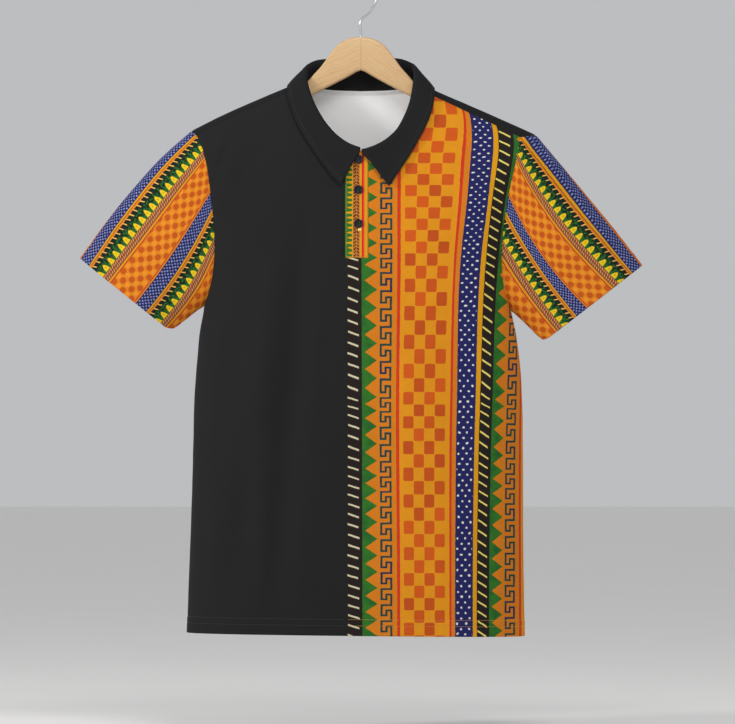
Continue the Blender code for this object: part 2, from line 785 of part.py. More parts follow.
def add_cutter(name, mesh, target):
    """Cuts a helper mesh out of an object, and keeps the helper out of the model."""
    cutter = bpy.data.objects.new(name, mesh)
    bpy.context.scene.collection.objects.link(cutter)
    cutter.hide_render = True
    cutter.display_type = "WIRE"
    cut = target.modifiers.new(name, "BOOLEAN")
    cut.operation = "DIFFERENCE"
    cut.solver = "EXACT"
    cut.object = cutter
    return cutter


def cylinder_mesh(name, centres, radius, low, high, segments):
    """Upright cylinders in one mesh."""
    made = bmesh.new()
    for x, y in centres:
        ring = bmesh.ops.create_cone(
            made,
            cap_ends=True,
            segments=segments,
            radius1=radius * MM,
            radius2=radius * MM,
            depth=(high - low) * MM,
        )
        bmesh.ops.translate(made, verts=ring["verts"], vec=Vector((x, y, (low + high) / 2)) * MM)
    mesh = bpy.data.meshes.new(name)
    made.to_mesh(mesh)
    made.free()
    return mesh


def add_buttons():
    signs = (-1, 1)
    offsets = [(BUTTON_HOLE_OFFSET * a, BUTTON_HOLE_OFFSET * b) for a in signs for b in signs]
    for number, height in enumerate(BUTTON_HEIGHTS, start=1):
        button = add_object(f"button_{number}", turned("button", BUTTON, BUTTON_SEGMENTS), "button")
        holes = cylinder_mesh("button_holes", offsets, BUTTON_HOLE_RADIUS, -1.0, 3.0, 8)
        cutter = add_cutter(f"button_holes_{number}", holes, button)
        low_z, high_z = height - BUTTON_SPAN, height + BUTTON_SPAN
        low = np.array([BUTTON_X, cloth_y(FRONT, BUTTON_X, low_z), low_z])
        high = np.array([BUTTON_X, cloth_y(FRONT, BUTTON_X, high_z), high_z])
        slope = unit(high - low)
        outward = np.array([0.0, -slope[2], slope[1]])
        seat = (low + high) / 2 + outward * (PLACKET_PROUD + SEAM_GAP)
        button.rotation_euler = Vector(outward).to_track_quat("Z", "Y").to_euler()
        button.location = Vector(seat) * MM
        cutter.parent = button


def add_hanger():
    half, edge = BOARD_THICKNESS / 2, BOARD_EDGE
    places = [(-x, top, low) for x, top, low in zip(*BOARD.values())][:0:-1]
    places += list(zip(*BOARD.values()))
    points = []
    for x, top, low in places:
        corner = min(edge, (top - low) / 3)
        section = (
            (-half + edge, top),
            (half - edge, top),
            (half, top - corner),
            (half, low + corner),
            (half - edge, low),
            (-half + edge, low),
            (-half, low + corner),
            (-half, top - corner),
        )
        points += [(x, y, z + BOARD_TILT * x) for y, z in section]
    faces = [tuple(range(8)), tuple(range(len(points) - 8, len(points)))]
    for start in range(0, len(points) - 8, 8):
        for i in range(8):
            j = (i + 1) % 8
            faces.append((start + i, start + j, start + 8 + j, start + 8 + i))
    board = add_object("hanger", mesh_of("hanger", points, faces), "wood")
    hole = cylinder_mesh("stem_hole", [(0.0, 0.0)], WIRE_RADIUS + SEAM_GAP, STEM_HOLE_BOTTOM, -60.0, 12)
    add_cutter("stem_hole", hole, board)


def add_hook():
    stem = [(x, z) for x, z in zip(STEM["x"], STEM["z"])]
    crest_z = WIRE_RADIUS - HOOK_RADIUS
    arc = []
    for angle in np.radians(np.linspace(*HOOK_ARC, 26)):
        arc.append((HOOK_RADIUS * math.cos(angle), crest_z + HOOK_RADIUS * math.sin(angle)))
    path = stem + arc
    curve = bpy.data.curves.new("hook", "CURVE")
    curve.dimensions = "3D"
    curve.bevel_depth = WIRE_RADIUS * MM
    curve.bevel_resolution = 2
    curve.use_fill_caps = True
    line = curve.splines.new("POLY")
    line.points.add(len(path) - 1)
    for point, (x, z) in zip(line.points, path):
        point.co = (x * MM, 0.0, z * MM, 1.0)
    curve.materials.append(material("steel"))
    bpy.context.scene.collection.objects.link(bpy.data.objects.new("hook", curve))


def main():
    for old in list(bpy.data.objects):
        bpy.data.objects.remove(old, do_unlink=True)
    add_shirt()
    add_placket()
    add_buttons()
    add_hanger()
    add_hook()


main()
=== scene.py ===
"""Looks of a kente print polo shirt that hangs on a wooden hanger.

The cloth is made again as thin shells on the same sizes as the model's solids, with many more rows, its
hems, stitches and creases. The print is charted here from named bands, and a map on each panel leads it
where the cloth was cut. X runs to the viewer's right, Y away from the viewer and Z up. Shapes are worked
out in millimetres, and MM turns them into metres.
"""

import math
from functools import partialmethod

import bmesh
import bpy
import numpy as np
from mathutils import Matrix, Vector, noise
from mathutils.kdtree import KDTree


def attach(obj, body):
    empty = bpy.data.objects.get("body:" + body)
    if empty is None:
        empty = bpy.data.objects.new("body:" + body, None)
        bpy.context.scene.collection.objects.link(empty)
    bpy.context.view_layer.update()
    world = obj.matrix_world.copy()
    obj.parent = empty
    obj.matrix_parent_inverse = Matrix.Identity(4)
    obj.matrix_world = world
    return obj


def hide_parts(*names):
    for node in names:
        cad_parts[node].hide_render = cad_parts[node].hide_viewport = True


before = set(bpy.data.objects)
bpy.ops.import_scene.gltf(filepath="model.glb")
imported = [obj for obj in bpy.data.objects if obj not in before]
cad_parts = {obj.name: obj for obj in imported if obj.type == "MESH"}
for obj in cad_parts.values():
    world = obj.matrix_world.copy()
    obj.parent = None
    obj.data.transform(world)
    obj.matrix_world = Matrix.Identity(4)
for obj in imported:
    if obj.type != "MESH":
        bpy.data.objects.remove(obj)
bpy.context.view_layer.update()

MM = 0.001
BODY = "root"
FRONT, BACK = -1, 1
LEFT, MIDDLE, RIGHT = -1, 0, 1
SIDE_NAME = {LEFT: "left", RIGHT: "right"}
SLEEVE_NAME = {LEFT: "sleeve_left", RIGHT: "sleeve_right"}


def table(columns, *rows):
    """Named columns, each an array with one value for each row."""
    return dict(zip(columns.split(), np.array(rows, float).T))


# Cloth, with the sizes that the solids have
CLOTH = 1.2
SIDE_POWER = 2.6
RIDGE_RADIUS = 8.0
ROUNDING = 3.0
FULLNESS = {FRONT: 1.05, BACK: 0.95}
FOLDED_DEPTH = 30.0  # folds fade where the cloth stands nearer to the hanger's plane

TORSO = table(
    "z left right depth",
    (-873, -233, 218.8, 66),
    (-757, -228.4, 217, 66),
    (-624, -224.3, 216.3, 66),
    (-557, -222.7, 215.4, 66),
    (-500, -218.6, 211.5, 65),
    (-465, -215.2, 206.5, 64),
    (-435, -209.4, 200.6, 63),
    (-375, -208.5, 200, 63),
    (-340, -210.5, 204, 63),
    (-307, -214.5, 208.5, 63),
    (-273, -222, 217, 63),
    (-238, -238, 238, 63),
    (-204, -262, 264, 63),
    (-100, -300, 300, 63),
)
HEM = {"z": -869.1, "slope": -0.0105}
ARMPIT = {"z": -435.5, "slope": -0.0151}

RIDGE = table(
    "x z",
    (-300, -232),
    (-226.5, -198.2),
    (-198, -183.6),
    (-121.5, -149.5),
    (-97.5, -139.5),
    (-74, -129.2),
    (-40, -116),
    (0, -111),
    (40, -117),
    (75, -131.8),
    (97.5, -143.5),
    (118.8, -152.9),
    (158.9, -170.2),
    (233.6, -203.6),
    (300, -235),
)
SHOULDER = {
    LEFT: {"neck_x": -74.0, "tip_x": -226.5, "corner_x": -219.7, "corner_drop": 9.3},
    RIGHT: {"neck_x": 75.0, "tip_x": 233.6, "corner_x": 212.9, "corner_drop": 12.6},
}
SEAM_DROP_AT_NECK = 7.0

ARMHOLE = table(
    "share left right",
    (0, 0, 0),
    (0.10, 8.6, 9.2),
    (0.25, 15.7, 15.8),
    (0.40, 18.1, 17),
    (0.55, 17.4, 15.1),
    (0.70, 15, 11.2),
    (0.85, 11.1, 5),
    (0.95, 5.2, 2),
    (1, 0, 0),
)
ARMHOLE_FALL = 3  # how fast the armhole's curve dies out towards the middle
NECKLINE = {
    LEFT: table(
        "x z",
        (-21.1, -220.5),
        (-33, -214),
        (-44, -204.5),
        (-55, -192),
        (-65, -175),
        (-72, -155),
        (-74.3, -136.5),
    ),
    RIGHT: table(
        "x z",
        (9.9, -228),
        (28, -221.5),
        (44, -211.5),
        (57, -197),
        (67, -179),
        (73.5, -157),
        (75.3, -139.7),
    ),
}
BACK_NECK_Z = -144.3
BACK_NECK = table(
    "share rise",
    (0, 0),
    (0.61, 0.14),
    (0.84, 0.30),
    (0.96, 0.62),
    (1, 1),
)
BACK_NECK_STEPS = np.array((0.0, 0.22, 0.45, 0.66, 0.84, 0.95, 1.0))

PLACKET = {LEFT: -21.1, RIGHT: 9.9, "bottom": -368.5}
PLACKET_WIDTH = PLACKET[RIGHT] - PLACKET[LEFT]
PLACKET_PROUD = 0.6
NEAR_PLACKET = 2.0  # cells beside the placket whose rows keep to its foot
UNDER_EDGES = {LEFT: -30.0, RIGHT: 5.0}
UNDER_DEPTH = 1.5

# Folds, and finer creases after them: from top to foot, with a sideways bow
FOLDS = table(
    "face x_top z_top x_foot z_foot width rise bow",
    (FRONT, -64, -250, -122, -920, 19, -6, 0),
    (FRONT, -114, -340, -150, -720, 21, 5, 0),
    (FRONT, -146, -560, -168, -840, 17, -3.8, 0),
    (FRONT, -174, -420, -188, -680, 13, -2.2, 0),
    (FRONT, 60, -420, 78, -800, 26, 2.5, 0),
    (FRONT, 120, -300, 132, -700, 24, -2.5, 0),
    (BACK, -92, -240, -118, -780, 24, 4, 0),
    (BACK, -20, -300, -32, -820, 26, -4, 0),
    (BACK, 66, -260, 92, -760, 24, 4, 0),
    (BACK, 128, -420, 140, -800, 22, -3, 0),
    (FRONT, -168, -196, -190, -262, 5, -1.1, 3),
    (FRONT, -183, -205, -197, -256, 4, 0.8, 2),
    (FRONT, -120, -205, -185, -330, 11, -1.2, 8),
    (FRONT, -60, -330, -74, -470, 9, 1, 3),
    (FRONT, -42, -395, -54, -620, 12, -1.1, -4),
    (FRONT, -186, -452, -150, -520, 10, -1.6, -6),
    (FRONT, -196, -478, -170, -585, 9, 1.2, -5),
    (FRONT, -128, -640, -122, -845, 12, 1.3, 5),
    (FRONT, -190, -640, -196, -840, 10, 1, 3),
    (FRONT, 176, -450, 146, -525, 10, -1.4, 6),
    (FRONT, 188, -480, 168, -590, 9, 1, 5),
    (FRONT, 24, -470, 30, -700, 13, -1, 4),
    (FRONT, 98, -560, 104, -840, 12, 1.1, -4),
    (FRONT, 160, -640, 170, -850, 11, -1.2, 4),
    (BACK, -176, -210, -196, -300, 7, -1.4, 4),
    (BACK, 178, -214, 194, -300, 7, -1.4, -4),
    (BACK, -150, -230, -60, -262, 9, 1.4, 9),
    (BACK, 150, -236, 62, -268, 9, 1.2, -9),
    (BACK, -190, -455, -150, -540, 10, -1.8, -6),
    (BACK, 182, -455, 142, -545, 10, -1.8, 6),
    (BACK, -60, -480, -70, -830, 13, 1.5, 5),
    (BACK, 26, -430, 34, -800, 12, 1.4, -5),
    (BACK, -160, -560, -172, -840, 12, 1.4, 4),
    (BACK, 110, -520, 104, -780, 11, -1.3, 4),
)

SLEEVES = {
    LEFT: table(
        "share top_x top_z low_x low_z depth",
        (0, -226.5, -198.2, -208.9, -432.3, 30),
        (0.25, -267.3, -234.7, -221, -441, 30),
        (0.50, -305.6, -276.9, -232.5, -450, 28),
        (0.75, -341.3, -321.2, -243.5, -458, 26),
        (1, -374.5, -367.8, -254, -465, 24),
    ),
    RIGHT: table(
        "share top_x top_z low_x low_z depth",
        (0, 233.6, -203.6, 200.3, -438.5, 30),
        (0.25, 266.6, -242.7, 211.5, -449, 30),
        (0.50, 302, -285.3, 222.5, -459.5, 28),
        (0.75, 339, -330, 233, -469.5, 26),
        (1, 375, -377.1, 243.9, -478.6, 24),
    ),
}
ARMHOLE_FADE = 0.6  # share of the sleeve over which its section turns from the armhole's to an oval
SLEEVE_FLAT = (196.0, 152.0)  # length and height of a sleeve, for its creases
CUFF_CORNER = {LEFT: 6.0, RIGHT: 3.0}  # how much the cuff's lower corner is rounded
CORNER_START = {"along": 0.7, "down": 0.94}  # shares of the sleeve at which the rounding starts

# Creases of the sleeves: share along and down at both ends, half-width in millimetres and rise
SLEEVE_CREASES = table(
    "face along_a down_a along_b down_b width rise",
    (FRONT, 0.02, 0.66, 0.70, 0.80, 7, -1.6),
    (FRONT, 0.05, 0.82, 0.55, 0.90, 5, 1.2),
    (FRONT, 0.04, 0.30, 0.60, 0.42, 9, -1.1),
    (FRONT, 0.30, 0.16, 0.95, 0.24, 8, 0.8),
    (BACK, 0.02, 0.62, 0.75, 0.78, 8, -2),
    (BACK, 0.05, 0.80, 0.60, 0.90, 5, 1.4),
    (BACK, 0.05, 0.28, 0.70, 0.45, 9, 1.4),
    (BACK, 0.25, 0.12, 0.95, 0.22, 8, -1),
)

COLLAR = {
    LEFT: table(
        "share roll_x roll_y roll_z edge_x edge_y edge_z",
        (0, 0, 24, -101.2, 0, 32, -152),
        (0.20, -45, 22, -102, -52, 30, -150.5),
        (0.30, -63, 15, -105.5, -79, 21, -147.5),
        (0.36, -72, 6, -111.5, -93, 9.5, -140),
        (0.39, -73.8, 0.5, -115.2, -96.4, 1.5, -137.4),
        (0.42, -74.5, -5, -120, -97.6, -7.5, -140.6),
        (0.51, -73, -15, -134, -96, -22, -157),
        (0.61, -66.5, -24.5, -154, -88.5, -30.5, -180),
        (0.71, -57.5, -30.5, -173, -77, -37.5, -203),
        (0.79, -46.5, -36, -190, -63, -42.5, -225),
        (0.86, -34, -40, -204, -50, -46, -243),
        (0.92, -20, -43, -214.5, -38.5, -49, -258),
        (1, -1.3, -45.5, -222.8, -26.7, -52, -270.3),
    ),
    RIGHT: table(
        "share roll_x roll_y roll_z edge_x edge_y edge_z",
        (0, 0, 24, -101.2, 0, 32, -152),
        (0.20, 45, 22, -101, 52, 30, -150.5),
        (0.30, 61.5, 15, -105, 79, 21, -148.5),
        (0.36, 70.5, 6, -111, 92.5, 9.5, -142.8),
        (0.39, 72, 0.5, -115.4, 96.2, 1.5, -140.9),
        (0.42, 72.5, -5, -121, 97.4, -7.5, -144.4),
        (0.51, 71, -15, -137, 96, -22, -161.5),
        (0.61, 66.5, -24.5, -159, 90, -30.5, -183),
        (0.71, 58.5, -31, -180, 79, -37.5, -206),
        (0.79, 47, -36.5, -199, 66, -42.5, -229),
        (0.88, 29, -41, -214, 53, -46.5, -249),
        (0.96, 9, -44.5, -223, 42, -49, -265),
        (1, 1.2, -45.5, -225, 37, -52, -272.6),
    ),
}
COLLAR_END_X = {LEFT: -1.3, RIGHT: 1.2}
COLLAR_FOLD_RADIUS = 1.2
COLLAR_BULGE = 2.0
COLLAR_OUT = np.array([1.0, 1.6, 0.0])  # weights that lead from the neck's middle outwards

# Sewing
HEM_BAND = 21.0  # height of the turned-up hem, whose two rows of stitches lie at these heights
HEM_ROWS = (12.7, 21.0)
CUFF_BAND = 20.0
BAND = {"proud": 0.4, "step": 1.2, "groove": 0.9}  # how a turned-up band stands out
HEM_CLOTH = 2.3  # thickness where the hem is folded up
LEAF_CLOTH = 1.7
LEAF_LINE = 4.0  # which line of the collar's section its leaf starts at
EDGE_ROUNDING = 0.38  # how far a wall's edge swells out, in shares of its thickness
SEAM_DIP = 0.8
SEAM_WIDTH = 2.2
SEAM_TURN = 5.0  # width beside a seam in which the cloth turns to the seam's own direction
THINNER = 0.85  # share that the walls lose at the armpits, where they would cut into each other
ARMPIT_WIDTH = 8.0
STITCH = {"length": 2.3, "pitch": 3.1, "radius": 0.24}
CUFF_THREAD, COLLAR_THREAD = 0.17, 0.16  # radii of finer stitches
SEWN_EDGE = 1.7  # how far a placket strip's stitches lie from its edge
COLLAR_SEWN_EDGE = 5.5
STRIP_GROOVE = {"depth": 0.15, "width": 0.6}  # under its stitches
STRIP_KNIT_START = 40.0  # where the knit is counted from, across a strip
RIPPLES = ((22.0, 0.22), (7.0, 0.05))  # width and height of the cloth's unevenness
PRINT_EDGE_X = -18.7  # where the black half ends and the print starts

# Fineness of the meshes
SIDE_CELLS, NECK_CELLS = 12, 6
CELL_PARTS = 6
SLOT_PARTS = 10
SLOT_SHARE = 0.325


def mix(a, b, share):
    return a + (b - a) * share


def ease(share):
    """0 to 1 with a level start and end."""
    share = np.clip(share, 0.0, 1.0)
    return share * share * (3 - 2 * share)


def smooth(at, xs, ys):
    """A smooth curve through a table's points."""
    slopes = np.gradient(ys, xs)
    at = np.clip(at, xs[0], xs[-1])
    i = np.clip(np.searchsorted(xs, at, side="right") - 1, 0, len(xs) - 2)
    span = xs[i + 1] - xs[i]
    t = (at - xs[i]) / span
    rise = ys[i + 1] - ys[i]
    low_bend = slopes[i] * span - rise
    high_bend = rise - slopes[i + 1] * span
    return mix(ys[i], ys[i + 1], t) + t * (1 - t) * mix(low_bend, high_bend, t)


def curve(sizes, name, at):
    """A table's column as a smooth curve over its first column."""
    return smooth(at, next(iter(sizes.values())), sizes[name])


def unit(vectors):
    return vectors / np.maximum(np.linalg.norm(vectors, axis=-1, keepdims=True), 1e-9)


def run_of(points):
    """Length along a row of points, from its start."""
    return np.concatenate([[0.0], np.cumsum(np.linalg.norm(np.diff(points, axis=0), axis=1))])


def sample(at, run, points):
    """Places at some lengths along a row of points."""
    return np.stack([np.interp(at, run, values) for values in points.T], axis=-1)


def bump(distance, width):
    return np.exp(-((distance / width) ** 2))


def crease(x, z, start, end, width, bow=0.0):
    """How much a crease lifts each place: 1 at its middle, and less to its sides and ends."""
    run_x, run_z = end[0] - start[0], end[1] - start[1]
    length = math.hypot(run_x, run_z)
    along = np.clip(((x - start[0]) * run_x + (z - start[1]) * run_z) / length**2, 0.0, 1.0)
    swell = np.sin(math.pi * along)
    aside = ((x - start[0]) * run_z - (z - start[1]) * run_x) / length - bow * swell
    return swell * bump(aside, width)


# Shape of the cloth


def ridge(x):
    return curve(RIDGE, "z", x)


def half_depth(x, z):
    """How far front and back stand from the hanger's plane."""
    left, right = (curve(TORSO, side, z) for side in ("left", "right"))
    across = np.minimum(np.abs(2 * x - left - right) / (right - left), 1.0)
    side = curve(TORSO, "depth", z) * np.sqrt(1 - across**SIDE_POWER)
    top = np.sqrt(2 * RIDGE_RADIUS * np.maximum(ridge(x) - z, 0.0))
    side, top = np.maximum(side, 0.01), np.maximum(top, 0.01)
    return (side**-ROUNDING + top**-ROUNDING) ** (-1 / ROUNDING)


def fold_rise(face, x, z):
    total = np.zeros(np.shape(x))
    for fold_face, x_top, z_top, x_foot, z_foot, width, rise, bow in zip(*FOLDS.values()):
        if fold_face == face:
            total = total + rise * crease(x, z, (x_top, z_top), (x_foot, z_foot), width, bow)
    return total


def cloth_y(face, x, z):
    depth = half_depth(x, z)
    return face * (FULLNESS[face] * depth + fold_rise(face, x, z) * ease(depth / FOLDED_DEPTH))


def level(line, x):
    return line["z"] + line["slope"] * x


def placket_head(x):
    """Height at which the placket ends, at the neckline."""
    share = (x - PLACKET[LEFT]) / PLACKET_WIDTH
    return mix(NECKLINE[LEFT]["z"][0], NECKLINE[RIGHT]["z"][0], share)


class Skin:
    """The shirt's points and faces. Neighbouring pieces share the points of their seams."""

    def __init__(self):
        self.points = np.zeros((0, 3))
        self.pieces = {}

    def add(self, x, y, z):
        """Adds points and returns their numbers, in the shape of x."""
        x, y, z = np.broadcast_arrays(x, y, z)
        start = len(self.points)
        self.points = np.vstack([self.points, np.stack([x, y, z], axis=-1).reshape(-1, 3)])
        return np.arange(start, start + x.size).reshape(x.shape)

    def cover(self, piece, grid, inside_out=False):
        corners = [grid[:-1, :-1], grid[:-1, 1:], grid[1:, 1:], grid[1:, :-1]]
        cells = np.stack(corners, axis=-1).reshape(-1, 4)
        cells = cells[(cells >= 0).all(axis=1)]
        self.pieces[piece] = cells[:, ::-1] if inside_out else cells

    def find_normals(self, rounds):
        """Outward directions at the points, where large faces count more than the slivers beside them.
        A piece with more rounds gets them smoother. At a seam each piece counts the same."""
        total = np.zeros((len(self.points), 3))
        for piece, cells in self.pieces.items():
            a, b, c, d = (self.points[cells[:, i]] for i in range(4))
            flat = np.cross(c - a, d - b)
            for _ in range(rounds.get(piece, 1)):
                own = np.zeros_like(total)
                for i in range(4):
                    np.add.at(own, cells[:, i], flat)
                flat = own[cells].sum(axis=1)
            total += unit(own)
        self.normals = unit(total)


# Torso

LAST_STEP = 11.95  # a column close beside the side seam
SIDE_STEPS = np.linspace(0, SIDE_CELLS, SIDE_CELLS * CELL_PARTS + 1)
SIDE_STEPS = np.unique(np.round(np.append(SIDE_STEPS, LAST_STEP), 4))
COLUMNS = (
    [(LEFT, k) for k in SIDE_STEPS[::-1]]
    + [(MIDDLE, k / SLOT_PARTS) for k in range(1, SLOT_PARTS)]
    + [(RIGHT, k) for k in SIDE_STEPS]
)
COLUMN_HAND = np.array([hand for hand, _ in COLUMNS])
COLUMN_K = np.array([k for _, k in COLUMNS])
LEFT_EDGE = len(SIDE_STEPS) - 1  # the placket's two edges, among the columns
RIGHT_EDGE = LEFT_EDGE + SLOT_PARTS
LEFT_NECK = LEFT_EDGE - int(np.searchsorted(SIDE_STEPS, NECK_CELLS))
RIGHT_NECK = RIGHT_EDGE + int(np.searchsorted(SIDE_STEPS, NECK_CELLS))

# Rows from the hem to the armpits and from there up, closer together in the hem and beside the seams
LOW_SHARES = np.unique(np.concatenate([np.linspace(0, 0.06, 27), np.linspace(0.06, 1.0, 80)]))
FRONT_SHARES = ([0.004], np.linspace(0.012, SLOT_SHARE, 26), np.linspace(SLOT_SHARE, 0.985, 56), [0.993, 1])
BACK_SHARES = ([0.004], np.linspace(0.012, 0.90, 66), 1 - 0.1 * np.linspace(0.94, 0, 14) ** 2)
HIGH_SHARES = {FRONT: np.unique(np.concatenate(FRONT_SHARES)), BACK: np.concatenate(BACK_SHARES)}
ARMPIT_ROW = len(LOW_SHARES) - 1
SLOT_ROW = len(LOW_SHARES) + int(np.searchsorted(HIGH_SHARES[FRONT], SLOT_SHARE))
FLAP_SHARES = np.linspace(0, 1, 9)[1:] ** 1.6


def low_x(hand, k, z):
    if hand == MIDDLE:
        return mix(PLACKET[LEFT], PLACKET[RIGHT], k) + 0 * z
    left, right = (curve(TORSO, side, z) for side in ("left", "right"))
    middle, half = (left + right) / 2, (right - left) / 2
    start = np.arcsin((hand * (PLACKET[hand] - middle) / half) ** (SIDE_POWER / 2))
    turn = mix(start, math.pi / 2, k / SIDE_CELLS)
    return middle + hand * half * np.sin(turn) ** (2 / SIDE_POWER)


def front_top(hand, k):
    if hand == MIDDLE:
        left, right = (NECKLINE[side] for side in (LEFT, RIGHT))
        return mix(left["x"][0], right["x"][0], k), mix(left["z"][0], right["z"][0], k)
    line = NECKLINE[hand]
    if k <= NECK_CELLS:
        steps = np.arange(NECK_CELLS + 1.0)
        return smooth(k, steps, line["x"]), smooth(k, steps, line["z"])
    share = (k - NECK_CELLS) / (SIDE_CELLS - NECK_CELLS)
    x = mix(line["x"][-1], SHOULDER[hand]["corner_x"], share)
    return x, ridge(x) - mix(SEAM_DROP_AT_NECK, SHOULDER[hand]["corner_drop"], share)


def back_top(hand, k):
    if hand == MIDDLE:
        x = mix(PLACKET[LEFT], PLACKET[RIGHT], k)
    elif k <= NECK_CELLS:
        step = np.interp(k, np.arange(NECK_CELLS + 1.0), BACK_NECK_STEPS)
        x = mix(PLACKET[hand], SHOULDER[hand]["neck_x"], step)
    else:
        share = (k - NECK_CELLS) / (SIDE_CELLS - NECK_CELLS)
        x = mix(SHOULDER[hand]["neck_x"], SHOULDER[hand]["tip_x"], share)
        return x, ridge(x)
    neck = SHOULDER[LEFT if x < 0 else RIGHT]["neck_x"]
    return x, mix(BACK_NECK_Z, ridge(neck), curve(BACK_NECK, "rise", x / neck))


def torso_column(face, hand, k):
    """A column's places from the hem up, in the hanger's plane."""
    low = low_x(hand, k, mix(HEM["z"], ARMPIT["z"], LOW_SHARES))
    low_z = mix(level(HEM, low), level(ARMPIT, low), LOW_SHARES)
    high = HIGH_SHARES[face]
    foot_x, foot_z = low[-1], low_z[-1]
    top_x, top_z = front_top(hand, k) if face == FRONT else back_top(hand, k)
    x, z = mix(foot_x, top_x, high), mix(foot_z, top_z, high)
    if hand != MIDDLE:
        x = x - hand * curve(ARMHOLE, SIDE_NAME[hand], high) * (k / SIDE_CELLS) ** ARMHOLE_FALL
    if face == FRONT:
        below = mix(foot_z, PLACKET["bottom"], high / SLOT_SHARE)
        above = mix(PLACKET["bottom"], top_z, (high - SLOT_SHARE) / (1 - SLOT_SHARE))
        near = 1.0 if hand == MIDDLE else ease(1 - k / NEAR_PLACKET)
        z = mix(z, np.where(high <= SLOT_SHARE, below, above), near)
    return np.concatenate([low, x]), np.concatenate([low_z, z])


def torso_grid(skin, face, shared=None):
    places = [torso_column(face, hand, k) for hand, k in COLUMNS]
    x, z = (np.stack(values, axis=1) for values in zip(*places))
    y = cloth_y(face, x, z)
    rows = np.arange(len(x))[:, None]
    side_seam = (COLUMN_K == SIDE_CELLS)[None, :] & (rows <= ARMPIT_ROW)
    grid = skin.add(x, np.where(side_seam, 0.0, y), z)
    if face == FRONT:
        grid[(COLUMN_HAND == MIDDLE)[None, :] & (rows > SLOT_ROW)] = -1
    else:
        for end in (0, -1):
            grid[: ARMPIT_ROW + 1, end] = shared[: ARMPIT_ROW + 1, end]
    return grid


def flap_grid(skin, front, back):
    """The back's rows from the ridge over to the forward shoulder seam, whose points the front has."""
    outside = (COLUMN_K >= NECK_CELLS) & (COLUMN_HAND != MIDDLE)
    top = np.where(outside, back[-1], -1)
    rows = [top]
    ridge_points, seam_points = skin.points[back[-1]], skin.points[front[-1]]
    for share in FLAP_SHARES[:-1]:
        x, _, z = mix(ridge_points, seam_points, share).T
        rows.append(np.where(outside, skin.add(x, cloth_y(FRONT, x, z), z), -1))
    rows.append(np.where(outside, front[-1], -1))
    return np.array(rows)


# Sleeves

SLEEVE_RINGS = np.concatenate([[0.008, 0.018], np.linspace(0.03, 0.86, 44), np.linspace(0.86, 1.0, 22)])
SLEEVE_RINGS = np.unique(np.round(SLEEVE_RINGS, 4))


def armhole_loop(front, back, flap, number):
    """From the armpit up the front, over the shoulder and down the back."""
    up = front[ARMPIT_ROW:, number]
    over = flap[-2:0:-1, number]
    down = back[:ARMPIT_ROW:-1, number]
    return np.concatenate([up, over, down, up[:1]])


def chord(hand, share):
    """A ring's upper end, lower end, and the direction that leads away from its chord."""
    top, low = (
        np.array([float(curve(SLEEVES[hand], f"{end}_{axis}", share)) for axis in "xz"])
        for end in ("top", "low")
    )
    run = unit(low - top)
    return top, low, np.array([-run[1], run[0]])


def sleeve_grid(skin, hand, loop):
    """The sleeve's rings, with each point's share along the sleeve and down its ring."""
    top, low, aside = chord(hand, 0.0)
    x, y, z = skin.points[loop[:-1]].T
    reach = np.stack([x, z], axis=1) - top
    down = np.clip(reach @ (low - top) / ((low - top) @ (low - top)), 0.0, 1.0)
    offset = reach @ aside
    underarm = unit(chord(hand, 1.0)[1] - chord(hand, 0.9)[1])
    rows, alongs = [loop], [np.zeros(len(loop))]
    for share in SLEEVE_RINGS:
        top, low, aside = chord(hand, share)
        depth = curve(SLEEVES[hand], "depth", share)
        fade = 1 - ease(share / ARMHOLE_FADE)
        place = mix(top, low, down[:, None]) + aside * (offset * fade)[:, None]
        corner = np.clip((down - CORNER_START["down"]) / (1 - CORNER_START["down"]), 0.0, 1.0) ** 2
        corner *= CUFF_CORNER[hand] * ease((share - CORNER_START["along"]) / (1 - CORNER_START["along"]))
        place -= corner[:, None] * underarm
        face = np.where(y < 0, FRONT, BACK)
        oval = np.sqrt(4 * down * (1 - down))
        round_y = face * oval * (depth + sleeve_crease(face, share, down))
        ring = skin.add(place[:, 0], mix(round_y, y, fade), place[:, 1])
        rows.append(np.append(ring, ring[0]))
        alongs.append(np.full(len(loop), share))
    downs = np.tile(np.append(down, down[0]), (len(rows), 1))
    return np.array(rows), np.array(alongs), downs


def sleeve_crease(face, share, down):
    """Rise of the creases at the points of one ring."""
    length, height = SLEEVE_FLAT
    total = np.zeros(len(down))
    for crease_face, along_a, down_a, along_b, down_b, width, rise in zip(*SLEEVE_CREASES.values()):
        start, end = (along_a * length, down_a * height), (along_b * length, down_b * height)
        swell = crease(share * length, down * height, start, end, width)
        total += np.where(face == crease_face, rise * swell, 0.0)
    return total


# Collar

COLLAR_PARTS = (8, 6, 4, 4, 8, 8, 10)  # rows between the eight lines of its section


def collar_seam(skin, front, back, flap):
    """The collar's seam from its left front end round the back of the neck to its right front end."""

    def end_points(hand):
        x = np.linspace(COLLAR_END_X[hand], PLACKET[hand], 12)[:-1]
        z = placket_head(x)
        return skin.add(x, cloth_y(FRONT, x, z) - PLACKET_PROUD, z)

    return np.concatenate(
        [
            end_points(LEFT),
            front[-1][LEFT_EDGE : LEFT_NECK - 1 : -1],
            flap[-2::-1, LEFT_NECK],
            back[-1][LEFT_NECK + 1 : RIGHT_NECK],
            flap[:-1, RIGHT_NECK],
            front[-1][RIGHT_NECK : RIGHT_EDGE - 1 : -1],
            end_points(RIGHT)[::-1],
        ]
    )


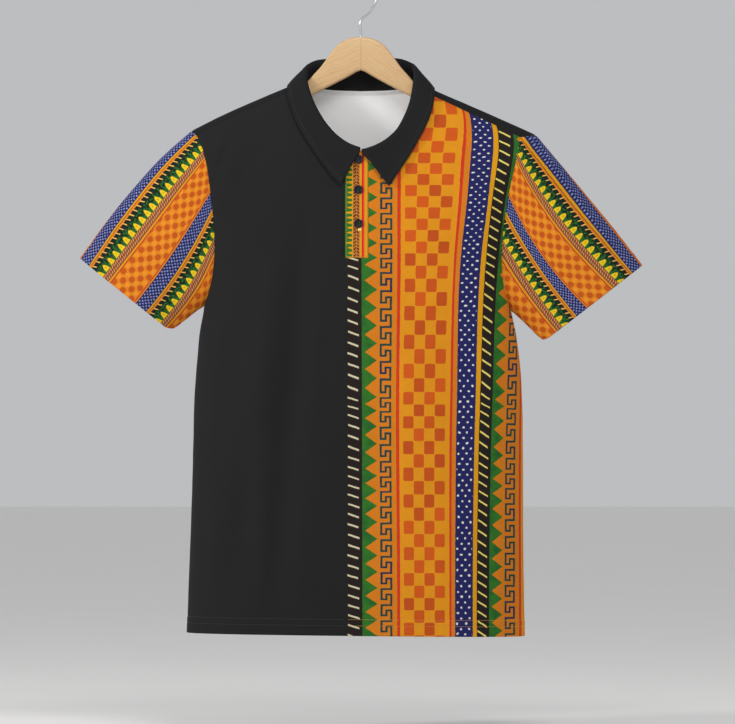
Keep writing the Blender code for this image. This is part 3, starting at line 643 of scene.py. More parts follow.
def collar_grid(skin, seam):
    """Rows from the seam up the stand, over the roll line and down the leaf to its edge."""
    points = skin.points[seam]
    run = run_of(points)
    behind = points[:, 1] > 0
    centre = np.interp(0.0, points[behind, 0], run[behind])
    hands = np.where(run < centre, LEFT, RIGHT)
    shares = np.abs(run - centre) / np.where(hands == LEFT, centre, run[-1] - centre)

    def place(line):
        left, right = (
            np.stack([curve(COLLAR[hand], f"{line}_{axis}", shares) for axis in "xyz"], axis=1)
            for hand in (LEFT, RIGHT)
        )
        return np.where((hands == LEFT)[:, None], left, right)

    roll, edge = place("roll"), place("edge")
    out = unit(points * COLLAR_OUT)
    up = unit(roll - points)
    stand_top = roll - COLLAR_FOLD_RADIUS * (out + up)
    leaf_top = roll + COLLAR_FOLD_RADIUS * (out - up)
    bulge = out * (COLLAR_BULGE * ease(1 - shares))[:, None]
    lines = np.array(
        [
            points,
            mix(points, stand_top, 0.5),
            stand_top,
            roll,
            leaf_top,
            mix(leaf_top, edge, 0.33) + bulge,
            mix(leaf_top, edge, 0.67) + bulge,
            edge,
        ]
    )
    steps = [i + np.arange(parts) / parts for i, parts in enumerate(COLLAR_PARTS)]
    steps = np.concatenate([*steps, [len(lines) - 1.0]])
    rows = np.zeros((len(steps), len(seam), 3))
    for number in range(len(seam)):
        section = lines[:, number]
        reach = run_of(section)
        at = np.interp(steps, np.arange(float(len(lines))), reach)
        rows[:, number] = np.stack([smooth(at, reach, section[:, axis]) for axis in range(3)], axis=1)
    grid = skin.add(*np.moveaxis(rows[1:], -1, 0))
    return np.vstack([seam[None, :], grid]), steps


# Meshes

SHARP = math.radians(62)  # edges that turn further than this look sharp


def border_edges(cells):
    """The directed edges that only one cell has."""
    edges = np.concatenate([np.stack([cells[:, i], cells[:, (i + 1) % 4]], axis=1) for i in range(4)])
    key = edges.min(axis=1) * (cells.max() + 1) + edges.max(axis=1)
    _, first, counts = np.unique(key, return_index=True, return_counts=True)
    return edges[first[counts == 1]]


def add_mesh(name, points, faces, materials, slots=None, maps=None):
    """A smooth mesh object from points in millimetres. slots has one material number for each face."""
    mesh = bpy.data.meshes.new(name)
    mesh.from_pydata(np.asarray(points) * MM, [], faces)
    for material in materials:
        mesh.materials.append(material)
    if slots is not None:
        mesh.polygons.foreach_set("material_index", np.asarray(slots, np.int32))
    corners = np.zeros(len(mesh.loops), np.int32)
    mesh.loops.foreach_get("vertex_index", corners)
    for map_name, values in (maps or {}).items():
        layer = mesh.uv_layers.new(name=map_name)
        layer.data.foreach_set("uv", values[corners].astype(np.float32).ravel())
    mesh.shade_smooth()
    mesh.set_sharp_from_angle(angle=SHARP)
    mesh.update()
    piece = bpy.data.objects.new(name, mesh)
    bpy.context.scene.collection.objects.link(piece)
    return piece


def nearest(points, places):
    """How far the nearest of some places is from each point, and its number."""
    tree = KDTree(len(places))
    for i, place in enumerate(places):
        tree.insert(place, i)
    tree.balance()
    numbers, distances = zip(*[tree.find(point)[1:] for point in points])
    return np.array(distances), np.array(numbers)


def ripples(points, scale, height):
    """Slight unevenness that cloth has at arm's length."""
    return height * np.array([noise.noise(Vector(point) / scale) for point in points])


# Print of the front: where its lines lie at each height, and where each line lies in the print itself,
# whose repeat is as wide as from the first black stripe to the second

REPEAT = 173.3
PRINT_LINES = {
    "black": 0.0,
    "green": 20.6,
    "red": 66.6,
    "checks": 76.0,
    "checks_end": 130.8,
    "red_two": 136.4,
    "blue": 144.0,
    "yellow": 167.5,
    "black_two": REPEAT,
    "green_two": REPEAT + 20.6,
    "edge": REPEAT + 76.0,
}
LINES_ON_FRONT = table(
    "z black green red checks checks_end red_two blue yellow black_two green_two edge",
    (-877, -18.7, 1.9, 47.9, 57.3, 112.1, 117.7, 125.4, 148.9, 154.6, 171, 218.7),
    (-824.4, -18.7, 1.9, 47.9, 57.3, 112.1, 117.7, 125.4, 148.9, 154.6, 171, 218.7),
    (-557.4, -18.7, 1.3, 46.2, 56.3, 112.7, 118.5, 127.9, 152.6, 159.1, 175.5, 219.9),
    (-357.1, -18.7, 0.7, 48.1, 58.6, 117.7, 124.6, 133.9, 161.1, 167.9, 184.9, 230.3),
    (-290.4, -18.7, 0.7, 48.1, 58.7, 122.5, 129.9, 141.4, 169.5, 175.1, 193, 238.9),
    (-223.6, -18.7, 0.7, 49.4, 60.1, 126.8, 134.3, 147.1, 176.5, 184.2, 205.2, 251),
    (-180.9, -18.7, 1.3, 53.4, 64.7, 132.2, 139.5, 150.3, 181, 188, 211.6, 257.6),
    (-140, -18.7, 1.3, 56, 68, 136, 143.5, 154, 184.5, 192, 217, 263),
)
TRIANGLES_ON_FRONT = table(
    "z count",
    (-877.6, 28.25),
    (-850.8, 27),
    (-765, 23),
    (-698.7, 20),
    (-638.3, 17),
    (-571.5, 14),
    (-553.2, 13),
    (-528, 12),
    (-481.7, 10),
    (-410.1, 7),
    (-386.1, 6),
    (-367.1, 5),
    (-266.2, 0),
    (-143.5, -6.05),
)
CHECKS_ON_FRONT = table(
    "z count",
    (-897.8, 19),
    (-863.1, 18),
    (-796.9, 16),
    (-692.2, 13),
    (-587, 10),
    (-555.2, 9),
    (-479.7, 7),
    (-404.2, 5),
    (-369.7, 4),
    (-307.7, 2),
    (-248.3, 0),
    (-219.6, -1),
    (-184.9, -2),
    (-114.1, -4),
)
DOTS_ON_FRONT = table(
    "z count",
    (-877, 95),
    (-557.4, 49.7),
    (-463.9, 36),
    (-370.5, 20.8),
    (-263.7, 0),
    (-156.9, -21),
)
VIEW_CENTRE = {"x": 8.7, "z": -506.6}
VIEW_DISTANCE = 9000.0
SIDE_STRETCH = 1.5  # the print goes on round the side seams, stretched at most so much


def as_seen(points):
    """Where the camera sees points, in the hanger's plane."""
    grow = VIEW_DISTANCE / (VIEW_DISTANCE + points[..., 1])
    x = mix(VIEW_CENTRE["x"], points[..., 0], grow)
    z = mix(VIEW_CENTRE["z"], points[..., 2], grow)
    return x, z


def front_print(points):
    """The print's own coordinates on the front: across in millimetres, and counts of its motifs upwards."""
    x, z = as_seen(points)
    names = list(PRINT_LINES)
    lines = [curve(LINES_ON_FRONT, name, z) for name in names]
    across = x - lines[0]
    for name, next_name, start, end in zip(names, names[1:], lines, lines[1:]):
        low, high = PRINT_LINES[name], PRINT_LINES[next_name]
        across = np.where(x > start, mix(low, high, (x - start) / (end - start)), across)
    step = np.diff(points, axis=1)
    arc = np.linalg.norm(step[..., [0, 1]], axis=-1)
    extra = np.maximum(arc / SIDE_STRETCH - np.abs(step[..., 0]), 0.0)
    extra[:, :RIGHT_EDGE] = 0.0
    across[:, 1:] += np.cumsum(extra, axis=1)
    motifs = (TRIANGLES_ON_FRONT, CHECKS_ON_FRONT, DOTS_ON_FRONT)
    return across, *(curve(motif, "count", z) for motif in motifs)


# Print of the sleeves, the same cloth at a smaller scale: how many repeats each line lies from the first,
# where it starts on the armhole, as a share of the chord from the shoulder down, and its bow to the cuff

SLEEVE_START = 0.10  # share of the cuff where the first line ends
SLEEVE_REPEAT = {LEFT: 0.637, RIGHT: 0.572}  # share of the cuff that one repeat takes
SLEEVE_FINE_LINES = (-0.3, 161)  # the first of the lines between which the print is read, and their number
SLEEVE_LINES = table(
    "armhole repeats left_bow right_bow",
    (-0.16, -0.38, 0, 4),
    (0, -0.024, 0, 4),
    (0.03, 0.047, 0.5, 5.5),
    (0.12, 0.251, 3, 9),
    (0.17, 0.385, 4.5, 11),
    (0.35, 0.793, 5, 10),
    (0.45, 0.997, 6.5, 5),
    (0.49, 1.044, 6.5, 4.5),
    (0.64, 1.295, 6, 3),
    (0.71, 1.358, 6, 2.5),
    (1, 1.727, 5, 2),
)
REPEAT_ON_SLEEVE = 96.6  # in millimetres
SLEEVE_ROUND = (0.25, 0.80)  # shares down between which the sleeve is nearly flat
SLEEVE_LENGTHS = (225.0, 56.0)  # from the armhole to the cuff, along the top and the underarm


def hidden_repeats(points, down):
    """How far the print is carried on round the crest and the underarm, by the length of cloth there that
    leads away from the camera, and so isn't seen."""
    step = np.diff(points, axis=1)
    unseen = np.linalg.norm(step, axis=-1) - np.linalg.norm(step[..., [0, 2]], axis=-1)
    lengths = np.concatenate([np.zeros((len(points), 1)), np.cumsum(unseen, axis=1)], axis=1)
    repeats = np.zeros(lengths.shape)
    crest = int(down.argmin())
    for columns in (slice(0, crest + 1), slice(crest, None)):
        side, place = lengths[:, columns], down[columns]
        for limit, sign in zip(SLEEVE_ROUND, (-1, 1)):
            start = side[:, [int(np.abs(place - limit).argmin())]]
            past = (place - limit) * sign > 0
            repeats[:, columns] += sign * np.where(past, np.abs(side - start), 0.0) / REPEAT_ON_SLEEVE
    return repeats


def sleeve_print(hand, points, alongs, downs):
    """The sleeve print's own coordinates: repeats across, and millimetres from the cuff. Each of the
    print's lines runs, as seen, from its place on the armhole to its place on the cuff, with a bow."""
    tops = np.array([chord(hand, share)[0] for share in alongs[:, 0]])
    bulge = tops - mix(tops[0], tops[-1], alongs[:, :1])
    flat = points[..., [0, 2]] - bulge[:, None] * ((1 - downs) ** 2)[..., None]
    fronts = points[0, :, 1] < 0
    order = np.argsort(downs[0, fronts])
    armhole = flat[0, fronts][order]

    first_line, count = SLEEVE_FINE_LINES
    lines = np.linspace(first_line, SLEEVE_LINES["repeats"][-1], count)
    starts, bows = (
        np.interp(lines, SLEEVE_LINES["repeats"], SLEEVE_LINES[name])
        for name in ("armhole", f"{SIDE_NAME[hand]}_bow")
    )
    first = sample(starts, downs[0, fronts][order], armhole)
    first += np.minimum(starts, 0.0)[:, None] * (armhole[-1] - armhole[0])
    top, low, _ = chord(hand, 1.0)
    last = top + (SLEEVE_START + SLEEVE_REPEAT[hand] * lines)[:, None] * (low - top)
    run = last - first
    reach = flat[:, :, None, :] - first
    length = np.linalg.norm(run, axis=1)
    done = np.clip((reach * run).sum(axis=-1) / length**2, 0.0, 1.0)
    side = hand * (run[:, 1] * reach[..., 0] - run[:, 0] * reach[..., 1]) / length
    side = side - bows * 4 * done * (1 - done)
    passed = np.clip((side > 0).sum(axis=-1), 1, len(lines) - 1)
    before, after = (np.take_along_axis(side, (passed - back)[..., None], -1)[..., 0] for back in (1, 0))
    share = np.clip(before / np.where(before == after, 1.0, before - after), -2.0, 3.0)
    repeats = lines[passed - 1] + share * (lines[1] - lines[0])
    ends = top + (SLEEVE_START + SLEEVE_REPEAT[hand] * repeats)[..., None] * (low - top)
    return repeats + hidden_repeats(points, downs[0]), np.linalg.norm(flat - ends, axis=-1)


# Colours, as display values of 0 to 255

COLOURS = {
    "cloth": (30, 30, 31),
    "white": (250, 249, 248),
    "black": (34, 28, 25),
    "gold": (216, 140, 24),
    "amber": (204, 122, 22),
    "orange": (205, 118, 26),
    "bright_orange": (216, 123, 28),
    "dark_check": (182, 76, 22),
    "lace": (126, 62, 48),
    "check": (202, 86, 24),
    "deep_check": (184, 76, 24),
    "red": (200, 54, 31),
    "green": (50, 112, 36),
    "deep_green": (34, 92, 38),
    "teal": (20, 62, 60),
    "navy": (26, 44, 70),
    "blue": (33, 35, 90),
    "dot": (222, 222, 208),
    "yellow": (212, 148, 18),
    "cream": (206, 196, 162),
    "straw": (226, 208, 110),
    "lemon": (226, 190, 30),
    "maroon": (88, 28, 34),
    "brown": (120, 66, 30),
    "red_brown": (160, 44, 34),
    "copper": (190, 124, 48),
    "ochre": (190, 140, 22),
    "tan": (206, 150, 84),
    "tick": (236, 180, 96),
    "night": (18, 32, 26),
    "light_orange": (228, 148, 40),
    "light_blue": (138, 148, 200),
    "sleeve_blue": (30, 34, 82),
    "crimson": (214, 24, 48),
    "thread_black": (30, 30, 31),
    "thread_gold": (190, 132, 40),
    "thread_brown": (150, 92, 30),
    "thread_white": (214, 213, 211),
    "thread_straw": (226, 208, 110),
    "wood": (198, 162, 115),
    "wood_ring": (180, 138, 90),
    "wood_pore": (154, 110, 68),
    "wood_cloud": (207, 175, 130),
    "wood_joint": (144, 104, 66),
    "steel": (196, 198, 202),
    "bright_steel": (226, 227, 230),
    "button": (9, 13, 21),
    "button_swirl": (18, 25, 38),
    "floor": (241, 239, 236),
    "pale_floor": (246, 244, 241),
    "daylight": (236, 238, 241),
}


# Shader building


def tone(red, green, blue):
    """A linear colour from display values of 0 to 255."""
    shares = np.array([red, green, blue]) / 255
    linear = np.where(shares <= 0.04045, shares / 12.92, ((shares + 0.055) / 1.055) ** 2.4)
    return (*linear.tolist(), 1.0)


def plug(tree, value, socket):
    """Gives a socket a value, an output or a colour by its name."""
    if isinstance(value, Value):
        value = value.socket
    if isinstance(value, bpy.types.NodeSocket):
        tree.links.new(value, socket)
    else:
        socket.default_value = tone(*COLOURS[value]) if isinstance(value, str) else value


def add_node(tree, kind, inputs=None, **settings):
    """Adds a node with its settings, and plugs its inputs, by their names or numbers."""
    node = tree.nodes.new(f"ShaderNode{kind}")
    for name, value in settings.items():
        setattr(node, name, value)
    for key, value in (inputs or {}).items():
        plug(tree, value, node.inputs[key])
    return node


class Value:
    """A number in a shader, which can be reckoned with like any other."""

    def __init__(self, tree, socket):
        self.tree = tree
        self.socket = socket

    def reckon(self, operation, *others):
        node = add_node(self.tree, "Math", dict(enumerate((self, *others))), operation=operation)
        return Value(self.tree, node.outputs[0])

    __add__ = __radd__ = partialmethod(reckon, "ADD")
    __sub__ = partialmethod(reckon, "SUBTRACT")
    __mul__ = __rmul__ = partialmethod(reckon, "MULTIPLY")
    __truediv__ = partialmethod(reckon, "DIVIDE")
    abs = partialmethod(reckon, "ABSOLUTE")
    fraction = partialmethod(reckon, "FRACT")
    floor = partialmethod(reckon, "FLOOR")
    root = partialmethod(reckon, "SQRT")
    power = partialmethod(reckon, "POWER")
    most = partialmethod(reckon, "MAXIMUM")
    least = partialmethod(reckon, "MINIMUM")

    def __rsub__(self, other):
        return self * -1.0 + other

    def from_whole(self):
        """Distance to the nearest whole number."""
        return ((self + 0.5).fraction() - 0.5).abs()

    def rising(self, start, end):
        """0 before start and 1 after end. With start after end it falls instead."""
        kind = "SMOOTHSTEP" if end > start else "LINEAR"
        inputs = {"Value": self, "From Min": start, "From Max": end}
        node = add_node(self.tree, "MapRange", inputs, interpolation_type=kind)
        return Value(self.tree, node.outputs["Result"])

    def between(self, low, high, soft):
        return self.rising(low - soft, low + soft) * self.rising(high + soft, high - soft)


class Material:
    """A material under construction: its shader, and helpers that add nodes to it."""

    def __init__(self, name, roughness, metallic=0.0):
        self.material = bpy.data.materials.new(name)
        self.material.use_nodes = True
        self.tree = self.material.node_tree
        self.set(roughness=roughness, metallic=metallic)

    def set(self, **values):
        """Sets inputs of the shader, such as sheen_weight."""
        shader = self.tree.nodes["Principled BSDF"]
        for name, value in values.items():
            plug(self.tree, value, shader.inputs[name.replace("_", " ").title().replace("Ior", "IOR")])

    def map(self, name):
        """The two coordinates of a panel's map."""
        return self.split(add_node(self.tree, "UVMap", uv_map=name).outputs[0])[:2]

    def split(self, vector):
        node = add_node(self.tree, "SeparateXYZ", {0: vector})
        return [Value(self.tree, output) for output in node.outputs]

    def join(self, *values):
        return add_node(self.tree, "CombineXYZ", dict(enumerate(values))).outputs[0]

    def place(self):
        """The object's own coordinates, in metres."""
        return add_node(self.tree, "TexCoord").outputs["Object"]

    def noise(self, vector, scale, detail=2.0, roughness=0.5):
        inputs = {"Vector": vector, "Scale": scale, "Detail": detail, "Roughness": roughness}
        return Value(self.tree, add_node(self.tree, "TexNoise", inputs).outputs["Fac"])

    def random(self, *values):
        """A steady random number for each set of whole numbers."""
        node = add_node(self.tree, "TexWhiteNoise", {"Vector": self.join(*values)})
        return Value(self.tree, node.outputs["Value"])

    def blend(self, share, first, second, kind="MIX"):
        """Two colours mixed by a share."""
        inputs = {0: share, 6: first, 7: second}
        return add_node(self.tree, "Mix", inputs, data_type="RGBA", blend_type=kind).outputs[2]

    def shaded(self, colour, shade, share=1.0):
        """A colour multiplied by a shade."""
        return self.blend(share, colour, self.join(shade, shade, shade), "MULTIPLY")

    def bands(self, across, width, stops):
        """Flat bands of colour. The stops say where each band starts, out of the whole width."""
        node = add_node(self.tree, "ValToRGB", {0: across / width})
        ramp = node.color_ramp
        ramp.interpolation = "CONSTANT"
        while len(ramp.elements) < len(stops):
            ramp.elements.new(0.5)
        for element, (start, colour) in zip(ramp.elements, stops.items()):
            element.position = start / width
            element.color = tone(*COLOURS[colour])
        return node.outputs[0]

    def bump(self, height, strength, distance):
        inputs = {"Strength": strength, "Distance": distance, "Height": height}
        self.set(normal=add_node(self.tree, "Bump", inputs).outputs[0])


# Looks of the cloth

KNIT = {"course": 0.75, "wale": 0.62}  # size of one stitch of the knit, down and across


def finish_cloth(material, colour, knit_strength=0.35, depth=0.12, sheen=0.02):
    """Gives a cloth its colour, with painted shade in the grooves of its fine knit, and a slight
    unevenness.
    """
    across, down = material.map("Cloth")
    wave = (across / KNIT["wale"]).from_whole() * 2.0
    chevron = (down / KNIT["course"] + wave * 0.5).from_whole() * 2.0
    height = wave.power(0.7) * 0.6 + chevron * 0.4
    material.bump(height, knit_strength, 0.12 * MM)
    flat = material.join(across * MM, down * MM, 0.0)
    slow = material.noise(flat, 14.0, 2.0)
    fine = material.noise(flat, 900.0, 3.0, 0.7)
    # Painted shade: depth darkens the colour where the knit's height is low, in its grooves. The two noises
    # vary the tone.
    shade = 1.0 - depth * (1.0 - height) + (slow - 0.5) * 0.10 + (fine - 0.5) * 0.14
    material.set(base_color=material.shaded(colour, shade))
    material.set(sheen_weight=sheen, sheen_roughness=0.45, specular_ior_level=0.12)
    return material.material


def black_cloth():
    return finish_cloth(Material("black_cloth", 0.86), "cloth", depth=0.25)


def wrong_side():
    return finish_cloth(Material("white_wrong_side", 0.88), "white", 0.25, depth=0.06, sheen=0.03)


def nearest_dot(u, v, across, down):
    """Distance to the nearest dot of two grids, where each lies between the other's dots. u and v count
    the dots, which lie so far apart across and down."""
    distances = []
    for shift in (0.0, 0.5):
        dx, dy = (u + shift).from_whole() * across, (v + shift).from_whole() * down
        distances.append((dx * dx + dy * dy).root())
    return distances[0].least(distances[1])


# Print of the front, with its sizes in millimetres of one repeat
FRONT_BANDS = {
    0.0: "black",
    20.6: "orange",
    62.5: "amber",
    66.6: "red",
    70.6: "gold",
    136.2: "red",
    139.4: "orange",
    143.9: "blue",
    167.5: "yellow",
}
KEY = {
    "left": 44.7,
    "right": 60.6,
    "line": 2.9,
    "start": 0.08,
    "pitch": 21.7,
    "weight": 0.118,
    "foot": 0.643,
    "shelf": 0.337,
    "middle": 0.506,
}
TRIANGLE = {"left": 20.6, "base": 24.7, "reach": 16.3}
TICKS = {
    "start": 1.2,
    "end": 15.9,
    "for_triangle": 1.612,
    "slope": 0.024,
    "second_slope": 0.014,
    "half": 1.2,
    "pitch": 13.4,
    "ragged": 2.4,
}
CHECK = {"first": 76.0, "width": 13.7, "half_square": 6.75, "height": 34.7, "corner": 2.2}
DOTS = {"first": 147.9, "across": 10.2, "down": 13.6, "radius": 1.35, "left": 145.2, "right": 166.4}
SECOND = {"triangles": 0.32, "ticks": 0.4, "keys": 0.2}  # how far the second set of bands is shifted along


def key_line(across, count):
    """The Greek key: 1 on its line. It is drawn from bars between the band's two edges, and count goes
    up by one for each key."""
    m = count.fraction()
    width = KEY["right"] - KEY["left"] - KEY["line"]
    x = (across - (KEY["left"] + KEY["line"] / 2)) / width
    half_x = KEY["line"] / 2 / width
    half_m = KEY["weight"] / 2

    def bar(x_low, x_high, m_low, m_high):
        middle_x, middle_m = (x_low + x_high) / 2, (m_low + m_high) / 2
        aside = (x - middle_x).abs() - (x_high - x_low) / 2 - half_x
        along = (m - middle_m).abs() - (m_high - m_low) / 2 - half_m
        return (aside * width).most(along * KEY["pitch"])

    distance = bar(0.0, 1.0, -0.001, 0.001)
    for limits in (
        (0.0, 1.0, 0.999, 1.001),
        (0.0, 0.0, 0.0, KEY["foot"]),
        (0.0, KEY["middle"], KEY["foot"], KEY["foot"]),
        (KEY["middle"], KEY["middle"], KEY["shelf"], KEY["foot"]),
        (KEY["middle"], 1.0, KEY["shelf"], KEY["shelf"]),
        (1.0, 1.0, KEY["shelf"], 1.0),
    ):
        distance = distance.least(bar(*limits))
    return distance.rising(0.35, -0.35)


def with_triangles(made, colour, across, count, mottle):
    """Green with triangles, which reach furthest at each whole count."""
    reach = 1.0 - count.from_whole() * 2.0
    green = (TRIANGLE["base"] + reach * TRIANGLE["reach"] - across).rising(-0.3, 0.3)
    green = green * across.rising(TRIANGLE["left"] - 0.2, TRIANGLE["left"] + 0.2)
    return made.blend(green, colour, made.blend(mottle.rising(0.35, 0.7), "green", "deep_green"))


def with_keys(made, colour, across, count, flat):
    ink = made.blend(made.noise(flat, 22.0, 1.0).rising(0.5, 0.66), "teal", "navy")
    return made.blend(key_line(across, count), colour, ink)


def with_dashes(made, colour, across, count, second):
    """Slanting dashes on the black stripes, with ragged ends."""
    tick = count * TICKS["for_triangle"] + second * SECOND["ticks"]
    tick = tick - across * (second * TICKS["second_slope"] + TICKS["slope"])
    ragged = (made.random((tick + 0.5).floor(), second, 7.0) - 0.5) * TICKS["ragged"]
    dash = (tick.from_whole() * TICKS["pitch"]).rising(TICKS["half"] + 0.35, TICKS["half"] - 0.35)
    dash = dash * (across + ragged * 0.5).rising(TICKS["start"] - 0.5, TICKS["start"] + 0.5)
    dash = dash * (across + ragged).rising(TICKS["end"] + 0.5, TICKS["end"] - 0.5)
    return made.blend(dash, colour, made.blend(second, "cream", "straw"))


def with_checks(made, colour, across, count):
    """Four columns of rounded checks, where each square is a little darker or lighter."""
    place = (across - CHECK["first"]) / CHECK["width"]
    column = place.floor()
    row = count + (column * 0.5).fraction()
    corner = CHECK["corner"]
    aside = ((place.fraction() - 0.5).abs() * CHECK["width"] - CHECK["half_square"] + corner).most(0.0)
    along = (row.from_whole() * CHECK["height"] - CHECK["height"] / 4 + corner).most(0.0)
    outside = (aside * aside + along * along).root() - corner
    square = outside.rising(0.35, -0.35) * place.between(0.0, 4.0, 0.01)
    shade = made.random(column, (row + 0.5).floor(), 0.0).rising(0.2, 1.0)
    return made.blend(square, colour, made.blend(shade, "check", "deep_check"))


def with_front_dots(made, colour, across, rows, flat):
    """Loose dots on the blue band."""
    drift = (made.noise(flat, 30.0, 0.0) - 0.5) * 5.0 + (made.noise(flat, 160.0, 0.0) - 0.5) * 2.2
    spot_u = (across + drift - DOTS["first"]) / DOTS["across"]
    spot_v = rows / 2 + (made.noise(flat, 140.0, 0.0) - 0.5) * 0.16
    distance = nearest_dot(spot_u, spot_v, DOTS["across"], DOTS["down"])
    dots = distance.rising(DOTS["radius"] + 0.4, DOTS["radius"] - 0.4)
    return made.blend(dots * across.between(DOTS["left"], DOTS["right"], 0.3), colour, "dot")


def front_cloth():
    """The front: plain black on the viewer's left, and the print's bands on the right."""
    made = Material("front_cloth", 0.80)
    across, triangles = made.map("Print")
    dot_rows, checks = made.map("Rows")
    flat = made.join(across * MM, triangles * KEY["pitch"] * MM, 0.0)
    u = across + (made.noise(flat, 160.0, 2.0) - 0.5) * 1.1
    v = triangles + (made.noise(flat, 110.0, 1.0) - 0.5) * 0.05
    second = u.rising(REPEAT - 0.01, REPEAT + 0.01)
    folded = u - second * REPEAT
    mottle = made.noise(flat, 60.0, 3.0, 0.6)
    colour = made.bands(folded, REPEAT, FRONT_BANDS)
    colour = with_triangles(made, colour, folded, v + second * SECOND["triangles"], mottle)
    colour = with_keys(made, colour, folded, v + second * SECOND["keys"] - KEY["start"], flat)
    colour = with_dashes(made, colour, folded, v, second)
    colour = with_checks(made, colour, u, checks)
    colour = with_front_dots(made, colour, u, dot_rows, flat)
    brushed = made.noise(made.join(u * 0.02, v * 2.6, 0.0), 9.0, 3.0, 0.6)
    colour = made.shaded(colour, 0.86 + brushed * 0.22 + (mottle - 0.5) * 0.16, 0.8)
    return finish_cloth(made, made.blend(across.rising(0.05, -0.05), colour, "cloth"))


# Print of the sleeves, with its bands in shares of one repeat and its marks in millimetres
SLEEVE_BANDS = {
    0.0: "yellow",
    0.017: "brown",
    0.025: "bright_orange",
    0.048: "night",
    0.11: "deep_green",
    0.247: "lace",
    0.345: "yellow",
    0.362: "bright_orange",
    0.372: "red_brown",
    0.384: "bright_orange",
    0.785: "red_brown",
    0.796: "bright_orange",
    0.814: "sleeve_blue",
}
FRINGE = {"pitch": 7.6, "lean": 0.42}
TOOTH = {"pitch": 11.3, "half": 3.9, "foot": 23.6, "height": 8.6, "eye": 19.8}
LACE_MARKS = ((26.2, 0.0), (30.6, 0.5))  # centre of each column of marks, and its shift along
LACE_PITCH = 3.5
SLEEVE_DOTS = 5.4  # how far apart the dots lie, both ways
# The two steps of the sleeves' spotted field, and the shares that count along them
FIELD = {"step": 8.2, "next_across": 7.45, "next_along": 10.05}
FIELD_AREA = FIELD["step"] * (FIELD["next_across"] + FIELD["next_along"])
FIELD["i_across"] = FIELD["next_along"] / FIELD_AREA
FIELD["i_along"] = FIELD["next_across"] / FIELD_AREA
FIELD["j"] = FIELD["step"] / FIELD_AREA
FIELD_SPOTS = ((0.0, 4.3, "dark_check", 0.9), (0.5, 3.5, "light_orange", 0.65))


def with_leaves(made, colour, u, mottle, flat):
    """Black and leafy green bands."""
    colour = made.blend(u.between(0.09, 0.247, 0.012) * mottle.rising(0.48, 0.72), colour, "green")
    shadow = u.between(0.05, 0.19, 0.02) * made.noise(flat, 300.0, 2.0).rising(0.42, 0.56)
    return made.blend(shadow, colour, "night")


def with_teeth(made, colour, u, v):
    """Fine fringe, and teeth that each have an eye."""
    across = u * REPEAT_ON_SLEEVE
    fringe = ((v - across * FRINGE["lean"]) / FRINGE["pitch"]).from_whole() * FRINGE["pitch"]
    colour = made.blend(fringe.rising(1.0, 0.45) * u.between(0.046, 0.102, 0.005), colour, "tick")
    tooth_v = (v / TOOTH["pitch"]).from_whole() * TOOTH["pitch"]
    reach = 1.0 - (tooth_v / TOOTH["half"]).power(2.4)
    tooth = (across - TOOTH["foot"] + reach * TOOTH["height"]).rising(-0.5, 0.5)
    colour = made.blend(tooth * u.between(0.15, 0.247, 0.003), colour, "lemon")
    eye = (across - TOOTH["eye"]).abs().most(tooth_v * 1.4).rising(1.7, 0.8)
    return made.blend(eye * 0.75, colour, "ochre")


def with_lace(made, colour, across, v):
    for centre, shift in LACE_MARKS:
        mark_v = ((v + (across - centre) * 0.8) / LACE_PITCH + shift).from_whole() * LACE_PITCH
        mark = mark_v.rising(1.05, 0.5) * (across - centre).abs().rising(1.8, 1.2)
        colour = made.blend(mark, colour, "tan")
    return colour


def with_spots(made, colour, across, v, field):
    """Spots on the orange field, in slanting rows."""
    for shift, radius, name, strength in FIELD_SPOTS:
        i = across * FIELD["i_across"] + v * FIELD["i_along"] + shift
        j = (across - v) * FIELD["j"] + shift
        di, dj = (i + 0.5).fraction() - 0.5, (j + 0.5).fraction() - 0.5
        da = di * FIELD["step"] + dj * FIELD["next_across"]
        db = di * FIELD["step"] - dj * FIELD["next_along"]
        spot = (da * da + db * db).root().rising(radius + 0.5, radius - 0.9)
        colour = made.blend(spot * field * strength, colour, name)
    return colour


def sleeve_cloth():
    """The sleeves: the same bands at a smaller scale."""
    made = Material("sleeve_cloth", 0.80)
    repeats, along = made.map("Print")
    flat = made.join(repeats * REPEAT_ON_SLEEVE * MM, along * MM, 0.0)
    u = (repeats + (made.noise(flat, 240.0, 2.0) - 0.5) * 0.010).fraction()
    v = along + (made.noise(flat, 200.0, 1.0) - 0.5) * 1.6
    across = u * REPEAT_ON_SLEEVE
    mottle = made.noise(flat, 420.0, 3.0, 0.65)
    colour = with_leaves(made, made.bands(u, 1.0, SLEEVE_BANDS), u, mottle, flat)
    colour = with_teeth(made, colour, u, v)
    colour = with_lace(made, colour, across, v)
    colour = with_spots(made, colour, across, v, u.between(0.388, 0.780, 0.003))
    distance = nearest_dot(across / SLEEVE_DOTS, v / SLEEVE_DOTS, SLEEVE_DOTS, SLEEVE_DOTS)
    dots = distance.rising(1.5, 0.7) * u.between(0.824, 0.992, 0.004) * mottle.rising(0.25, 0.55)
    colour = made.blend(dots, colour, "light_blue")
    return finish_cloth(made, made.shaded(colour, 0.88 + mottle * 0.22, 0.8))


# Print of the placket, in millimetres from its left edge
PLACKET_BANDS = {
    0.0: "green",
    9.4: "yellow",
    10.6: "copper",
    19.3: "yellow",
    22.1: "crimson",
    24.9: "yellow",
    29.6: "orange",
}
SPIKE_PITCH = 6.7
PLACKET_MARKS = ((12.9, 2.3, 0.7), (17.2, 1.9, -0.7))  # centre, half-width and lean of each column
MARK_PITCH = 4.4


def with_spikes(made, colour, u, v):
    """Spikes on the green band."""
    tip = made.random((v / SPIKE_PITCH + 0.5).floor(), 3.0, 5.0) * 3.6 + 0.9
    spike = (u - tip) * 0.16 + 0.75 - (v / SPIKE_PITCH).from_whole() * SPIKE_PITCH
    spike = spike.rising(-0.35, 0.35) * (u - tip).rising(-0.4, 0.4) * u.rising(9.9, 9.3)
    return made.blend(spike, colour, "yellow")


